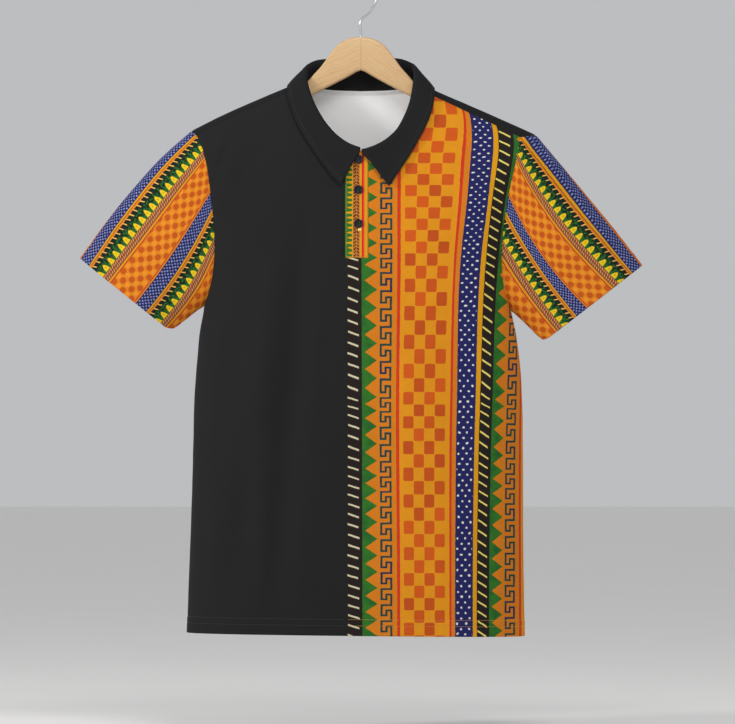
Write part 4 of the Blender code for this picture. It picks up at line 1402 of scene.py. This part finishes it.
def with_marks(made, colour, u, v, worn):
    """Slanting marks, worn here and there."""
    for centre, half, lean in PLACKET_MARKS:
        mark_v = ((v + (u - centre) * lean) / MARK_PITCH).from_whole() * MARK_PITCH
        mark = mark_v.rising(1.8, 1.2) * (u - centre).abs().rising(half, half - 0.6)
        colour = made.blend(mark * (worn * 0.5 + 0.5), colour, "maroon")
    return colour


def placket_cloth():
    """The placket's strips: the bands at their smallest scale."""
    made = Material("placket_cloth", 0.80)
    u, v = made.map("Print")
    flat = made.join(u * MM, v * MM, 0.0)
    u = u + (made.noise(flat, 420.0, 2.0) - 0.5) * 0.9
    v = v + (made.noise(flat, 260.0, 1.0) - 0.5) * 1.4
    mottle = made.noise(flat, 520.0, 3.0, 0.65)
    colour = made.bands(u.most(0.0), PLACKET_WIDTH, PLACKET_BANDS)
    colour = made.blend(u.rising(9.6, 9.0) * mottle.rising(0.45, 0.62), colour, "deep_green")
    colour = with_spikes(made, colour, u, v)
    colour = with_marks(made, colour, u, v, made.noise(flat, 170.0, 2.0, 0.6).rising(0.30, 0.55))
    colour = made.blend(u.between(10.7, 19.2, 0.3) * mottle.rising(0.54, 0.68) * 0.3, colour, "tan")
    colour = made.blend((u - 25.6).abs().rising(0.5, 0.2) * 0.5, colour, "brown")
    return finish_cloth(made, made.shaded(colour, 0.86 + mottle * 0.26, 0.8))


# Painted highlight on the raised parts of a thread's twist
TWIST_HIGHLIGHT = 26  # added to each part of a thread's colour


def thread(name):
    """Twisted thread, with a painted highlight: its colour is lighter where the twist stands higher."""
    colour = COLOURS[f"thread_{name}"]
    made = Material(f"{name}_thread", 0.6)
    twist = made.noise(made.place(), 2600.0, 2.0)
    lighter = [min(255, part + TWIST_HIGHLIGHT) for part in colour]
    # painted highlight: the colour gets lighter where the twist's bump stands higher
    made.set(base_color=made.blend(twist, tone(*colour), tone(*lighter)))
    made.bump(twist, 0.5, 0.1 * MM)
    made.set(sheen_weight=0.1)
    return made.material


# Looks of the hard pieces

GRAIN_ANGLE = math.radians(27)


def wood():
    """Pale varnished wood, with the grain of each half running down its own arm."""
    made = Material("wood", 0.42)
    x, y, z = made.split(made.place())
    side = x.abs()
    along = side * math.cos(GRAIN_ANGLE) - z * math.sin(GRAIN_ANGLE)
    aside = side * math.sin(GRAIN_ANGLE) + z * math.cos(GRAIN_ANGLE) + x * 0.11
    warp = made.noise(made.join(along * 3.0, aside * 9.0, y * 4.0), 9.0, 3.0)
    growth = (aside * 210.0 + warp * 3.2).from_whole() * 2.0
    pores = made.noise(made.join(along * 40.0, aside * 620.0, y * 300.0), 1.6, 3.0, 0.65)
    cloud = made.noise(made.join(along * 10.0, aside * 30.0, y * 20.0), 2.0, 2.0)
    joint = (side / MM).rising(0.55, 0.2)
    colour = made.blend(growth.rising(0.55, 1.0) * 0.45, "wood", "wood_ring")
    colour = made.blend(pores.rising(0.56, 0.74) * 0.55, colour, "wood_pore")
    colour = made.blend(cloud.rising(0.35, 0.7) * 0.35, colour, "wood_cloud")
    made.set(base_color=made.blend(joint * 0.5, colour, "wood_joint"))
    made.bump(pores * 0.3 + growth * 0.2 - joint, 0.25, 0.2 * MM)
    made.set(roughness=0.36 + pores * 0.16, coat_weight=0.18, coat_roughness=0.3)
    return made.material


def steel():
    made = Material("steel", 0.18, 1.0)
    scratches = made.noise(made.place(), 700.0, 4.0, 0.7)
    made.set(base_color=made.blend(scratches, "steel", "bright_steel"))
    made.bump(scratches, 0.1, 0.05 * MM)
    made.set(roughness=0.12 + scratches * 0.16)
    return made.material


def button_plastic():
    made = Material("button", 0.3)
    swirl = made.noise(made.place(), 500.0, 3.0, 0.6)
    made.set(base_color=made.blend(swirl.rising(0.3, 0.8), "button", "button_swirl"))
    made.bump(made.noise(made.place(), 3000.0, 2.0), 0.12, 0.05 * MM)
    made.set(roughness=0.36 + swirl * 0.14, specular_ior_level=0.25)
    return made.material


def pale_surface():
    made = Material("pale_surface", 0.9)
    made.set(base_color=made.blend(made.noise(made.place(), 5.0, 3.0), "floor", "pale_floor"))
    return made.material


# Shirt

STRIP_COLUMNS, STRIP_ROWS = 34, 120
STRIP_PROUD = 0.9
STRIP_ROLL = 1.4  # width of a strip's rolled edge
STRIP_TURN = 0.7  # how far the rolled edge turns back
INSIDE_OUT = ("back", "sleeve_right", "collar")  # grids whose rows and columns turn the other way


def strip_grid(skin, edges, depth):
    """A placket strip, upwards from its foot to the neckline."""
    across, up = np.linspace(0, 1, STRIP_COLUMNS), np.linspace(0, 1, STRIP_ROWS)
    x, rise = np.meshgrid(mix(edges[LEFT], edges[RIGHT], across), up)
    z = mix(PLACKET["bottom"], placket_head(x), rise)
    inner = np.minimum(x - edges[LEFT], edges[RIGHT] - x)
    rolled = 1 - ease(np.minimum(inner, z - PLACKET["bottom"]) / STRIP_ROLL)
    return skin.add(x, cloth_y(FRONT, x, z) + depth + rolled * STRIP_TURN, z), x, z


skin = Skin()
front = torso_grid(skin, FRONT)
back = torso_grid(skin, BACK, shared=front)
flap = flap_grid(skin, front, back)
loops = {LEFT: armhole_loop(front, back, flap, 0), RIGHT: armhole_loop(front, back, flap, -1)}
sleeves = {hand: sleeve_grid(skin, hand, loop) for hand, loop in loops.items()}
neck_seam = collar_seam(skin, front, back, flap)
collar, collar_steps = collar_grid(skin, neck_seam)
top_strip, top_x, top_z = strip_grid(skin, PLACKET, -STRIP_PROUD)
under_strip, under_x, under_z = strip_grid(skin, UNDER_EDGES, UNDER_DEPTH)
grids = {
    "front": front,
    "back": np.vstack([back, flap[1:]]),
    "sleeve_left": sleeves[LEFT][0],
    "sleeve_right": sleeves[RIGHT][0],
    "collar": collar,
    "placket_top": top_strip,
    "placket_under": under_strip,
}
for piece, grid in grids.items():
    skin.cover(piece, grid, inside_out=piece in INSIDE_OUT)
skin.find_normals(rounds={"front": 5, "back": 5})


def used_by(*parts):
    """Which of the skin's points some grids have."""
    used = np.zeros(len(skin.points), bool)
    for part in parts:
        used[part[part >= 0]] = True
    return used


# Seams: the cloth dips there, and its outward directions turn gradually to the seam's own. The first two
# and the last two lie in the hanger's plane.
seams = [
    front[: ARMPIT_ROW + 1, 0],
    front[: ARMPIT_ROW + 1, -1],
    front[-1, : LEFT_NECK + 1],
    front[-1, RIGHT_NECK:],
    loops[LEFT],
    loops[RIGHT],
    neck_seam,
    grids["sleeve_left"][:, 0],
    grids["sleeve_right"][:, 0],
]
for line in seams[:2] + seams[-2:]:
    skin.normals[line, 1] = 0.0
skin.normals = unit(skin.normals)


def along_seams(values):
    """Values along all the seams, with three more between each two points."""
    spans = [(values[line[:-1]], values[line[1:]]) for line in seams]
    return np.concatenate([mix(*span, share) for span in spans for share in (0, 0.25, 0.5, 0.75)])


seamed = used_by(*[grids[piece] for piece in ("front", "back", "sleeve_left", "sleeve_right")])
distances, numbers = nearest(skin.points[seamed], along_seams(skin.points))
seam_normals = unit(along_seams(skin.normals))[numbers]
share = ease(distances / SEAM_TURN)[:, None]
skin.normals[seamed] = unit(mix(seam_normals, skin.normals[seamed], share))
armpits = skin.points[[loops[LEFT][0], loops[RIGHT][0]]]
body = 1 - THINNER * bump(nearest(skin.points, armpits)[0], ARMPIT_WIDTH)  # share of the walls' thickness
lift = np.zeros(len(skin.points))
lift[seamed] = -SEAM_DIP * bump(distances, SEAM_WIDTH) * body[seamed]


def band_lift(height, band, rows):
    """A turned-up band stands a little proud, with a groove under each row of stitches."""
    rise = 1 - ease((height - band) / BAND["step"] + 0.5)
    return BAND["proud"] * (rise - sum(bump(height - row, BAND["groove"]) for row in rows))


# Hems of the torso and the sleeves, and the unevenness of all the cloth
height = skin.points[:, 2] - level(HEM, skin.points[:, 0])
torso = used_by(front, back)
lift[torso] += band_lift(height[torso], HEM_BAND, HEM_ROWS)
from_cuff = {}
for hand, (grid, alongs, downs) in sleeves.items():
    from_cuff[hand] = (1 - alongs) * mix(*SLEEVE_LENGTHS, downs)
    lift[grid[1:]] += band_lift(from_cuff[hand], CUFF_BAND, (CUFF_BAND,))[1:]
for scale, rise in RIPPLES:
    lift += ripples(skin.points, scale, rise)
edge = np.minimum(top_x - PLACKET[LEFT], PLACKET[RIGHT] - top_x) - SEWN_EDGE
lift[top_strip] -= STRIP_GROOVE["depth"] * bump(edge, STRIP_GROOVE["width"])
outer = skin.points + skin.normals * lift[:, None]

objects = {}
cloth = {
    "black": black_cloth(),
    "white": wrong_side(),
    "front": front_cloth(),
    "sleeve": sleeve_cloth(),
    "placket": placket_cloth(),
}


def add_wall(piece, maps, outside, inside="white", thickness=CLOTH, turned_up=False):
    """A piece's wall of cloth, with a rounded edge. Where it is turned up, it is thicker and the inside
    shows the right side."""
    grid = grids[piece]
    used, first = np.unique(grid[grid >= 0], return_index=True)
    number = np.full(len(skin.points), -1)
    number[used] = np.arange(len(used))
    cells = number[skin.pieces[piece]]

    def values(field):
        return np.broadcast_to(field, grid.shape)[grid >= 0][first]

    thickness = np.where(turned_up, HEM_CLOTH, thickness)
    depth = values(thickness * body[grid])[:, None]
    places, normals = skin.points[used], skin.normals[used]
    outer_face, inner_face = outer[used], outer[used] - normals * depth
    edges = border_edges(cells)
    along = unit(places[edges[:, 1]] - places[edges[:, 0]])
    away = unit(np.cross(along, normals[edges].mean(axis=1)))
    pull = np.zeros_like(places)
    for end in range(2):
        np.add.at(pull, edges[:, end], away)
    rim = np.unique(edges)
    swell = unit(pull[rim]) * depth[rim] * EDGE_ROUNDING
    count = len(used)
    middle_of = np.full(count, -1)
    middle_of[rim] = 2 * count + np.arange(len(rim))
    a, b = edges.T
    upper = np.stack([b, a, middle_of[a], middle_of[b]], axis=1)
    lower = np.stack([middle_of[b], middle_of[a], a + count, b + count], axis=1)
    folded = values(turned_up)[cells].all(axis=1)
    points = np.concatenate([outer_face, inner_face, (outer_face[rim] + inner_face[rim]) / 2 + swell])
    faces = np.concatenate([cells, cells[:, ::-1] + count, upper, lower])
    slots = np.concatenate([np.zeros(len(cells)), np.where(folded, 0, 1), np.zeros(2 * len(upper))])
    corner_maps = {}
    for name, fields in maps.items():
        pair = np.stack([values(field) for field in fields], axis=1)
        corner_maps[name] = np.concatenate([pair, pair, pair[rim]])
    materials = [cloth[outside], cloth[inside]]
    objects[piece] = add_mesh(f"{piece}_cloth", points, faces.tolist(), materials, slots, corner_maps)


def run_along(grid, axis):
    """Length along each line of a grid, in millimetres."""
    places = np.where(grid[..., None] >= 0, skin.points[grid], np.nan)
    step = np.nan_to_num(np.linalg.norm(np.diff(places, axis=axis), axis=-1))
    total = np.cumsum(step, axis=axis)
    first = np.zeros_like(np.take(total, [0], axis=axis))
    return np.concatenate([first, total], axis=axis)


def cloth_map(grid):
    """Where each point lies on the flat cloth, for the knit."""
    return run_along(grid, 1), -skin.points[grid][..., 2]


across, triangles, checks, dot_rows = front_print(skin.points[front])
maps = {"Cloth": cloth_map(front), "Print": (across, triangles), "Rows": (dot_rows, checks)}
add_wall("front", maps, "front", turned_up=height[front] < HEM_BAND)
whole_back = grids["back"]
add_wall("back", {"Cloth": cloth_map(whole_back)}, "black", turned_up=height[whole_back] < HEM_BAND)
for hand, piece in SLEEVE_NAME.items():
    grid, alongs, downs = sleeves[hand]
    repeats, lengths = sleeve_print(hand, skin.points[grid], alongs, downs)
    maps = {"Cloth": (run_along(grid, 1), lengths), "Print": (repeats, lengths)}
    add_wall(piece, maps, "sleeve", turned_up=from_cuff[hand] < CUFF_BAND)
maps = {"Cloth": (run_along(collar, 1), run_along(collar, 0))}
thickness = np.where(collar_steps > LEAF_LINE - 0.5, LEAF_CLOTH, CLOTH)[:, None]
add_wall("collar", maps, "black", "black", thickness)
for piece, x, z in (("placket_top", top_x, top_z), ("placket_under", under_x, under_z)):
    add_wall(piece, {"Cloth": (x + STRIP_KNIT_START, -z), "Print": (x - PLACKET[LEFT], -z)}, "placket")


# Stitches

threads = {name: thread(name) for name in ("black", "gold", "brown", "straw", "white")}
SHARES_OF_STITCH = np.array([0.0, 0.2, 0.5, 0.8, 1.0])
STITCH_BOW = np.array([-0.6, 0.3, 0.55, 0.3, -0.6])  # in radii, as the thickness is
STITCH_RADII = np.array([0.7, 1.0, 1.0, 1.0, 0.7])
THREAD_SIDES = 6


def add_rings(name, points, material):
    """One mesh of closed tubes. The points' axes are the tubes, their rings and the places round them."""
    number = np.arange(points[..., 0].size).reshape(points.shape[:-1])
    turned = np.roll(number, -1, axis=2)
    cells = np.stack([number[:, :-1], turned[:, :-1], turned[:, 1:], number[:, 1:]], axis=-1).reshape(-1, 4)
    ends = np.concatenate([number[:, 0, ::-1], number[:, -1]])
    return add_mesh(name, points.reshape(-1, 3), cells.tolist() + ends.tolist(), [material])


def add_tubes(name, centres, normals, radii, sides, material):
    """One mesh of round tubes along many short paths, which lie along the second axis of their centres."""
    along = unit(np.gradient(centres, axis=1))
    out = unit(normals - (normals * along).sum(axis=-1, keepdims=True) * along)
    aside = np.cross(along, out)
    turns = 2 * math.pi * np.arange(sides) / sides
    ring = np.cos(turns)[:, None] * out[:, :, None, :] + np.sin(turns)[:, None] * aside[:, :, None, :]
    radii = np.broadcast_to(radii, centres.shape[:2])[..., None, None]
    return add_rings(name, centres[:, :, None, :] + ring * radii, material)


def line_on(grid, field, value, inner=0.0):
    """Where a field on a grid crosses a value, one place in each column, with its outward directions. It
    lies on the outer face, or so far under it on the inner face."""
    places = outer[grid] - skin.normals[grid] * inner
    normals = -skin.normals[grid] if inner else skin.normals[grid]
    above = field > value
    crosses = above[:-1] != above[1:]
    columns = np.flatnonzero(crosses.any(axis=0))
    low, high = ((crosses.argmax(axis=0)[columns] + step, columns) for step in (0, 1))
    share = ((value - field[low]) / (field[high] - field[low]))[:, None]
    return mix(places[low], places[high], share), unit(mix(normals[low], normals[high], share))


def part_of_line(line, outward, limit, right):
    """The part of a line on one side of a limit across."""
    keep = (line[:, 0] > limit) == right
    return line[keep], outward[keep]


def stitches(line, outward, radius):
    """Short stitches along a line: the centres, outward directions and radii of their rings."""
    run = run_of(line)
    starts = np.arange(STITCH["pitch"] / 2, run[-1] - STITCH["length"], STITCH["pitch"])
    at = starts[:, None] + SHARES_OF_STITCH * STITCH["length"]
    normals = unit(sample(at, run, outward))
    centres = sample(at, run, line) + normals * (STITCH_BOW * radius)[:, None]
    return centres, normals, np.tile(radius * STITCH_RADII, (len(centres), 1))


def sew(name, colour, lines, radius=STITCH["radius"]):
    """A piece made of rows of stitches."""
    parts = zip(*[stitches(*line, radius) for line in lines])
    centres, normals, radii = (np.concatenate(values) for values in parts)
    objects[name] = add_tubes(name, centres, normals, radii, THREAD_SIDES, threads[colour])


hem_front = [line_on(front, height[front], row) for row in HEM_ROWS]
sew("hem_stitches_dark", "black", [part_of_line(*line, PRINT_EDGE_X, False) for line in hem_front])
sew("hem_stitches_gold", "gold", [part_of_line(*line, PRINT_EDGE_X, True) for line in hem_front])
sew("hem_stitches_back", "black", [line_on(back, height[back], row) for row in HEM_ROWS])
for hand, piece in SLEEVE_NAME.items():
    line = line_on(grids[piece], from_cuff[hand], CUFF_BAND)
    sew(f"{piece}_stitches", "brown", [line], CUFF_THREAD)
leaf = collar[int(np.searchsorted(collar_steps, LEAF_LINE)) :]
leaf_run = run_along(leaf, 0)
line = line_on(leaf, leaf_run[-1] - leaf_run, COLLAR_SEWN_EDGE, inner=LEAF_CLOTH)
sew("collar_stitches", "black", [line], COLLAR_THREAD)
strip_lines = [
    line_on(top_strip.T, top_x.T, PLACKET[LEFT] + SEWN_EDGE),
    line_on(top_strip.T, top_x.T, PLACKET[RIGHT] - SEWN_EDGE),
    line_on(top_strip, top_z, PLACKET["bottom"] + SEWN_EDGE),
]
sew("placket_stitches", "gold", strip_lines)

# The neck seam's edge inside the back is bound with a close row of upright white stitches
NECK_BINDING = {"top": 0.9, "foot": 6.2, "pitch": 1.5, "lean": 0.5, "radius": 0.26}
BINDING_SHARES = np.array([0.0, 0.1, 0.5, 0.9, 1.0])[:, None]
BINDING_BOW = np.array([-0.5, 0.4, 0.6, 0.4, -0.5])[:, None]  # in radii


def add_neck_binding():
    neck = back[::-1, LEFT_NECK : RIGHT_NECK + 1]
    from_neck = run_along(neck, 0)
    (line, outward), (foot, _) = (
        line_on(neck, from_neck, NECK_BINDING[name], inner=CLOTH) for name in ("top", "foot")
    )
    run = run_of(line)
    at = np.arange(1.0, run[-1] - 1.0, NECK_BINDING["pitch"])
    high, low, normals = (
        sample(at + shift, run, values)[:, None]
        for values, shift in ((line, 0.0), (foot, NECK_BINDING["lean"]), (outward, 0.0))
    )
    radius = NECK_BINDING["radius"]
    centres = mix(high, low, BINDING_SHARES) + normals * BINDING_BOW * radius
    normals = np.broadcast_to(normals, centres.shape)
    sewn = add_tubes("neck_binding", centres, normals, radius, THREAD_SIDES, threads["white"])
    objects["neck_binding"] = sewn


add_neck_binding()

# Buttons, with their buttonholes behind them

BUTTON_X = -3.4
BUTTON_HEIGHTS = (-237.6, -277.9, -322.9)
BUTTON_SPAN = 4.0  # the cloth's slope is taken so far above and below a button's middle
BUTTON_GAP = 0.15  # between the upper strip and a button
BUTTON_PROFILE = table(
    "radius height",
    (0, 0),
    (4.6, 0),
    (5.3, 0.12),
    (5.8, 0.5),
    (6, 1),
    (5.95, 1.5),
    (5.7, 1.95),
    (5.3, 2.18),
    (4.9, 2.2),
    (4.5, 2.1),
    (4.1, 1.75),
    (3.8, 1.45),
    (3.4, 1.32),
    (0, 1.3),
)
BUTTON_SEGMENTS = 64
BUTTON_HOLE = {"radius": 0.8, "offset": 1.5, "low": -1.0, "high": 3.0}
BUTTON_THREAD = {"radius": 0.42, "z": 1.3, "past": 0.15, "sides": 10}
BUTTON_THREAD_ARCH = np.array([-1.1, -0.1, 0.28, 0.28, -0.1, -1.1])
BUTTONHOLE = {"below": 6.9, "half_width": 1.7, "aside": 0.0, "colour": "gold"}
LOWEST_BUTTONHOLE = {"below": 9.0, "half_width": 2.3, "aside": 1.8, "colour": "straw"}
RUNG = {"above": 6.0, "pitch": 0.6, "radius": 0.32, "under": 0.12}
RUNG_ARCH = np.array([-0.3, 0.12, 0.18, 0.12, -0.3])
CUT_SEGMENTS = 32
CUT_SHARP = math.radians(40)


def turned(name, profile, segments, material):
    """A piece turned about Z from a profile that starts and ends on the axis."""
    turns = 2 * math.pi * np.arange(segments) / segments
    points, rings = [], []
    for radius, up in zip(profile["radius"], profile["height"]):
        count = 1 if radius == 0 else segments
        rings.append([len(points) + i for i in range(count)])
        for turn in turns[:count]:
            points.append((radius * math.cos(turn), radius * math.sin(turn), up))
    faces = []
    for low, high in zip(rings, rings[1:]):
        for i in range(segments):
            j = (i + 1) % segments
            corners = [low[i % len(low)], low[j % len(low)], high[j % len(high)], high[i % len(high)]]
            faces.append(tuple(dict.fromkeys(corners)))
    return add_mesh(name, points, faces, [material])


def cut_cylinders(piece, centres, hole):
    """Cuts upright round holes of one size out of a piece, for good."""
    radius, low, high = hole["radius"], hole["low"], hole["high"]
    cutter_mesh = bmesh.new()
    for x, y in centres:
        ring = bmesh.ops.create_cone(
            cutter_mesh,
            cap_ends=True,
            segments=CUT_SEGMENTS,
            radius1=radius * MM,
            radius2=radius * MM,
            depth=(high - low) * MM,
        )
        bmesh.ops.translate(cutter_mesh, verts=ring["verts"], vec=Vector((x, y, (low + high) / 2)) * MM)
    mesh = bpy.data.meshes.new("cutter")
    cutter_mesh.to_mesh(mesh)
    cutter_mesh.free()
    cutter = bpy.data.objects.new("cutter", mesh)
    bpy.context.scene.collection.objects.link(cutter)
    cut = piece.modifiers.new("holes", "BOOLEAN")
    cut.operation = "DIFFERENCE"
    cut.solver = "EXACT"
    cut.object = cutter
    bpy.context.view_layer.update()
    result = bpy.data.meshes.new_from_object(piece.evaluated_get(bpy.context.evaluated_depsgraph_get()))
    piece.modifiers.clear()
    piece.data = result
    result.shade_smooth()
    result.set_sharp_from_angle(angle=CUT_SHARP)
    bpy.data.objects.remove(cutter, do_unlink=True)


def straight(reach, steps):
    """Places on a level line across, from one side of the middle to the other."""
    return np.stack([np.linspace(-reach, reach, steps), np.zeros(steps), np.zeros(steps)], axis=1)


def add_button(number, seat, outward, finish):
    offset = BUTTON_HOLE["offset"]
    button = turned(f"button_{number}_disc", BUTTON_PROFILE, BUTTON_SEGMENTS, finish)
    holes = [(offset * a, offset * b) for a in (-1, 1) for b in (-1, 1)]
    cut_cylinders(button, holes, BUTTON_HOLE)
    bar = straight(offset + BUTTON_THREAD["past"], len(BUTTON_THREAD_ARCH))
    bars = np.array([bar + [0.0, side * offset, BUTTON_THREAD["z"]] for side in (-1, 1)])
    bars[..., 2] += BUTTON_THREAD_ARCH
    normals = np.broadcast_to([0.0, 0.0, 1.0], bars.shape)
    name = f"button_{number}_thread"
    radius, sides = BUTTON_THREAD["radius"], BUTTON_THREAD["sides"]
    sewn = add_tubes(name, bars, normals, radius, sides, threads["black"])
    for piece in (button, sewn):
        piece.rotation_euler = Vector(outward).to_track_quat("Z", "Y").to_euler()
        piece.location = Vector(seat) * MM
    objects[f"button_{number}"] = button
    objects[name] = sewn


def add_buttonhole(number, seat, up, outward):
    """A buttonhole as a ladder of close threads."""
    sizes = LOWEST_BUTTONHOLE if number == len(BUTTON_HEIGHTS) else BUTTONHOLE
    reach = np.arange(-sizes["below"], RUNG["above"], RUNG["pitch"])
    middle = seat - outward * RUNG["under"] + [sizes["aside"], 0, 0]
    rungs = straight(sizes["half_width"], len(RUNG_ARCH)) + middle + reach[:, None, None] * up
    rungs = rungs + outward * RUNG_ARCH[:, None]
    normals = np.broadcast_to(outward, rungs.shape)
    name = f"buttonhole_{number}"
    sewn = add_tubes(name, rungs, normals, RUNG["radius"], THREAD_SIDES, threads[sizes["colour"]])
    objects[name] = sewn


def add_buttons():
    finish = button_plastic()
    for number, middle in enumerate(BUTTON_HEIGHTS, start=1):
        ends = (middle - BUTTON_SPAN, middle + BUTTON_SPAN)
        low, high = (np.array([BUTTON_X, cloth_y(FRONT, BUTTON_X, z), z]) for z in ends)
        up = unit(high - low)
        outward = np.array([0.0, -up[2], up[1]])
        seat = (low + high) / 2 + outward * (STRIP_PROUD + BUTTON_GAP)
        add_button(number, seat, outward, finish)
        add_buttonhole(number, seat, up, outward)


add_buttons()

# Hanger: the board's upper and lower edge from its centre outwards

BOARD = table(
    "x top low",
    (0, -72.8, -117.3),
    (6, -73.1, -119.5),
    (12, -74.1, -123.1),
    (18, -75.6, -126.6),
    (24, -78.4, -129.8),
    (30, -82.8, -132.9),
    (35.5, -88.1, -135.8),
    (44.7, -100.8, -140.5),
    (53.4, -112.8, -145.1),
    (63, -123.4, -150.1),
    (72.4, -133.4, -155),
    (85, -140.1, -161.5),
    (97.5, -145.4, -168),
    (120, -154.9, -178),
    (150, -167.5, -189.5),
    (180, -180.3, -200),
    (199, -188.8, -207),
    (205, -192.5, -205.5),
)
BOARD_TIP = {"start": 200.0, "rounding": 5.0, "thinner": 0.65}
BOARD_THICKNESS = 12.0
BOARD_EDGE = 3.6
BOARD_TILT = -0.01
CORNER_STEPS = 6
BOARD_STATIONS = (81, 13)  # along one arm, and along its tip

# Hook: the wire, the middle line of its stem, and the round part
WIRE_RADIUS = 1.5
WIRE_SIDES = 28
HOOK_RADIUS = 21.0
STEM = table(
    "x z",
    (0, -92),
    (0, -80),
    (0, -70),
    (-0.8, -60),
    (-0.8, -53),
    (1.6, -48),
    (6, -44.3),
    (11.3, -40.6),
)
HOOK_ARC = (-42.0, 182.0)  # degrees, from the stem's side over the crest to the tip
HOOK_STEPS = 150
STEM_HOLE = {"radius": 1.75, "low": -93.0, "high": -60.0}


def add_hanger():
    start, end = BOARD_TIP["start"], BOARD["x"][-1]
    stations, tip_stations = BOARD_STATIONS
    x = np.concatenate([np.linspace(0, start, stations), np.linspace(start, end, tip_stations)[1:]])
    x = np.concatenate([-x[:0:-1], x])
    reach = np.abs(x)
    top, low = (curve(BOARD, name, reach) for name in ("top", "low"))
    past = np.maximum(reach - (end - BOARD_TIP["rounding"]), 0.0) / BOARD_TIP["rounding"]
    rounding = np.sqrt(np.maximum(1 - past**2, 0.02))
    middle, half_high = (top + low) / 2 + BOARD_TILT * x, (top - low) / 2 * rounding
    half_thick = BOARD_THICKNESS / 2 * mix(1.0, rounding, BOARD_TIP["thinner"])
    corner = np.minimum(BOARD_EDGE, half_high * 0.8)
    quarter = np.repeat(np.arange(4), CORNER_STEPS)
    turns = quarter * math.pi / 2 + np.tile(np.linspace(0, math.pi / 2, CORNER_STEPS), 4)
    side_y, side_z = np.where(quarter % 3 == 0, 1, -1), np.where(quarter < 2, 1, -1)
    y = side_y * (half_thick - corner)[:, None] + corner[:, None] * np.cos(turns)
    z = side_z * (half_high - corner)[:, None] + corner[:, None] * np.sin(turns) + middle[:, None]
    points = np.stack([np.broadcast_to(x[:, None], y.shape), y, z], axis=-1)
    board = add_rings("hanger_board", points[None], wood())
    cut_cylinders(board, [(0.0, 0.0)], STEM_HOLE)
    objects["hanger"] = board


def add_hook():
    turns = np.radians(np.linspace(*HOOK_ARC, 40))
    crest_z = WIRE_RADIUS - HOOK_RADIUS
    arc = np.stack([HOOK_RADIUS * np.cos(turns), crest_z + HOOK_RADIUS * np.sin(turns)], axis=1)
    path = np.concatenate([np.stack([STEM["x"], STEM["z"]], axis=1), arc])
    run = run_of(path)
    at = np.linspace(0, run[-1], HOOK_STEPS)
    x, z = (smooth(at, run, path[:, axis]) for axis in range(2))
    cap = WIRE_RADIUS * np.sin(np.linspace(0, math.pi / 2, 6))[1:]
    centres = np.stack([x, np.zeros_like(x), z], axis=1)
    tip = unit(centres[-1] - centres[-2])
    centres = np.concatenate([centres, centres[-1] + cap[:, None] * tip])
    cap_radii = np.sqrt(np.maximum(WIRE_RADIUS**2 - cap**2, 0.01))
    radii = np.concatenate([np.full(HOOK_STEPS, WIRE_RADIUS), cap_radii])
    normals = np.broadcast_to([0.0, 1.0, 0.0], centres.shape)
    wire = add_tubes("hook_wire", centres[None], normals[None], radii[None], WIRE_SIDES, steel())
    objects["hook"] = wire


add_hanger()
add_hook()

# These pieces stand for the CAD nodes of the same names, which are hidden.
SLOTS = {
    "front": "kente_cloth",
    "back": "black_cloth",
    "sleeve_left": "kente_cloth",
    "sleeve_right": "kente_cloth",
    "collar": "black_cloth",
    "placket_top": "kente_cloth",
    "placket_under": "kente_cloth",
    "button_1": "button",
    "button_2": "button",
    "button_3": "button",
    "hanger": "wood",
    "hook": "steel",
}
for piece, obj in objects.items():
    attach(obj, BODY)
    if piece in SLOTS:
        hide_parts(piece)

# Camera, lights and room

scene = bpy.context.scene
camera_data = bpy.data.cameras.new("camera")
camera_data.sensor_width = 36.0
camera_data.lens = 330.2
camera = bpy.data.objects.new("camera", camera_data)
camera.location = (VIEW_CENTRE["x"] * MM, -VIEW_DISTANCE * MM, VIEW_CENTRE["z"] * MM)
camera.rotation_euler = (math.radians(90), 0.0, 0.0)
scene.collection.objects.link(camera)
scene.camera = camera


def add_light(name, location, target, size, power):
    """A square lamp that shines on a target."""
    light = bpy.data.lights.new(name, "AREA")
    light.size = size
    light.energy = power
    lamp = bpy.data.objects.new(name, light)
    lamp.location = location
    aim = Vector(target) - Vector(location)
    lamp.rotation_euler = aim.to_track_quat("-Z", "Y").to_euler()
    scene.collection.objects.link(lamp)


middle = (0.0, 0.0, -0.45)
add_light("key", (-2.9, -1.7, 0.7), middle, 0.7, 61.0)
add_light("fill", (1.2, -3.0, 0.3), middle, 1.8, 6.0)
add_light("above", (0.2, -1.3, 1.0), (0.0, 0.0, -0.1), 0.6, 12.5)

world = bpy.data.worlds.new("soft_studio")
world.use_nodes = True
daylight = world.node_tree.nodes["Background"].inputs
daylight["Color"].default_value = tone(*COLOURS["daylight"])
daylight["Strength"].default_value = 0.6
scene.world = world
scene.view_settings.view_transform = "Standard"
scene.view_settings.look = "None"
scene.view_settings.exposure = 0.0
scene.view_settings.gamma = 1.0

# A wide pale floor
FLOOR = {"z": -1.0, "half_width": 14.0}
side, z = FLOOR["half_width"] / MM, FLOOR["z"] / MM
floor_points = [(-side, -side, z), (side, -side, z), (side, side, z), (-side, side, z)]
floor = add_mesh("floor", floor_points, [(0, 1, 2, 3)], [pale_surface()])
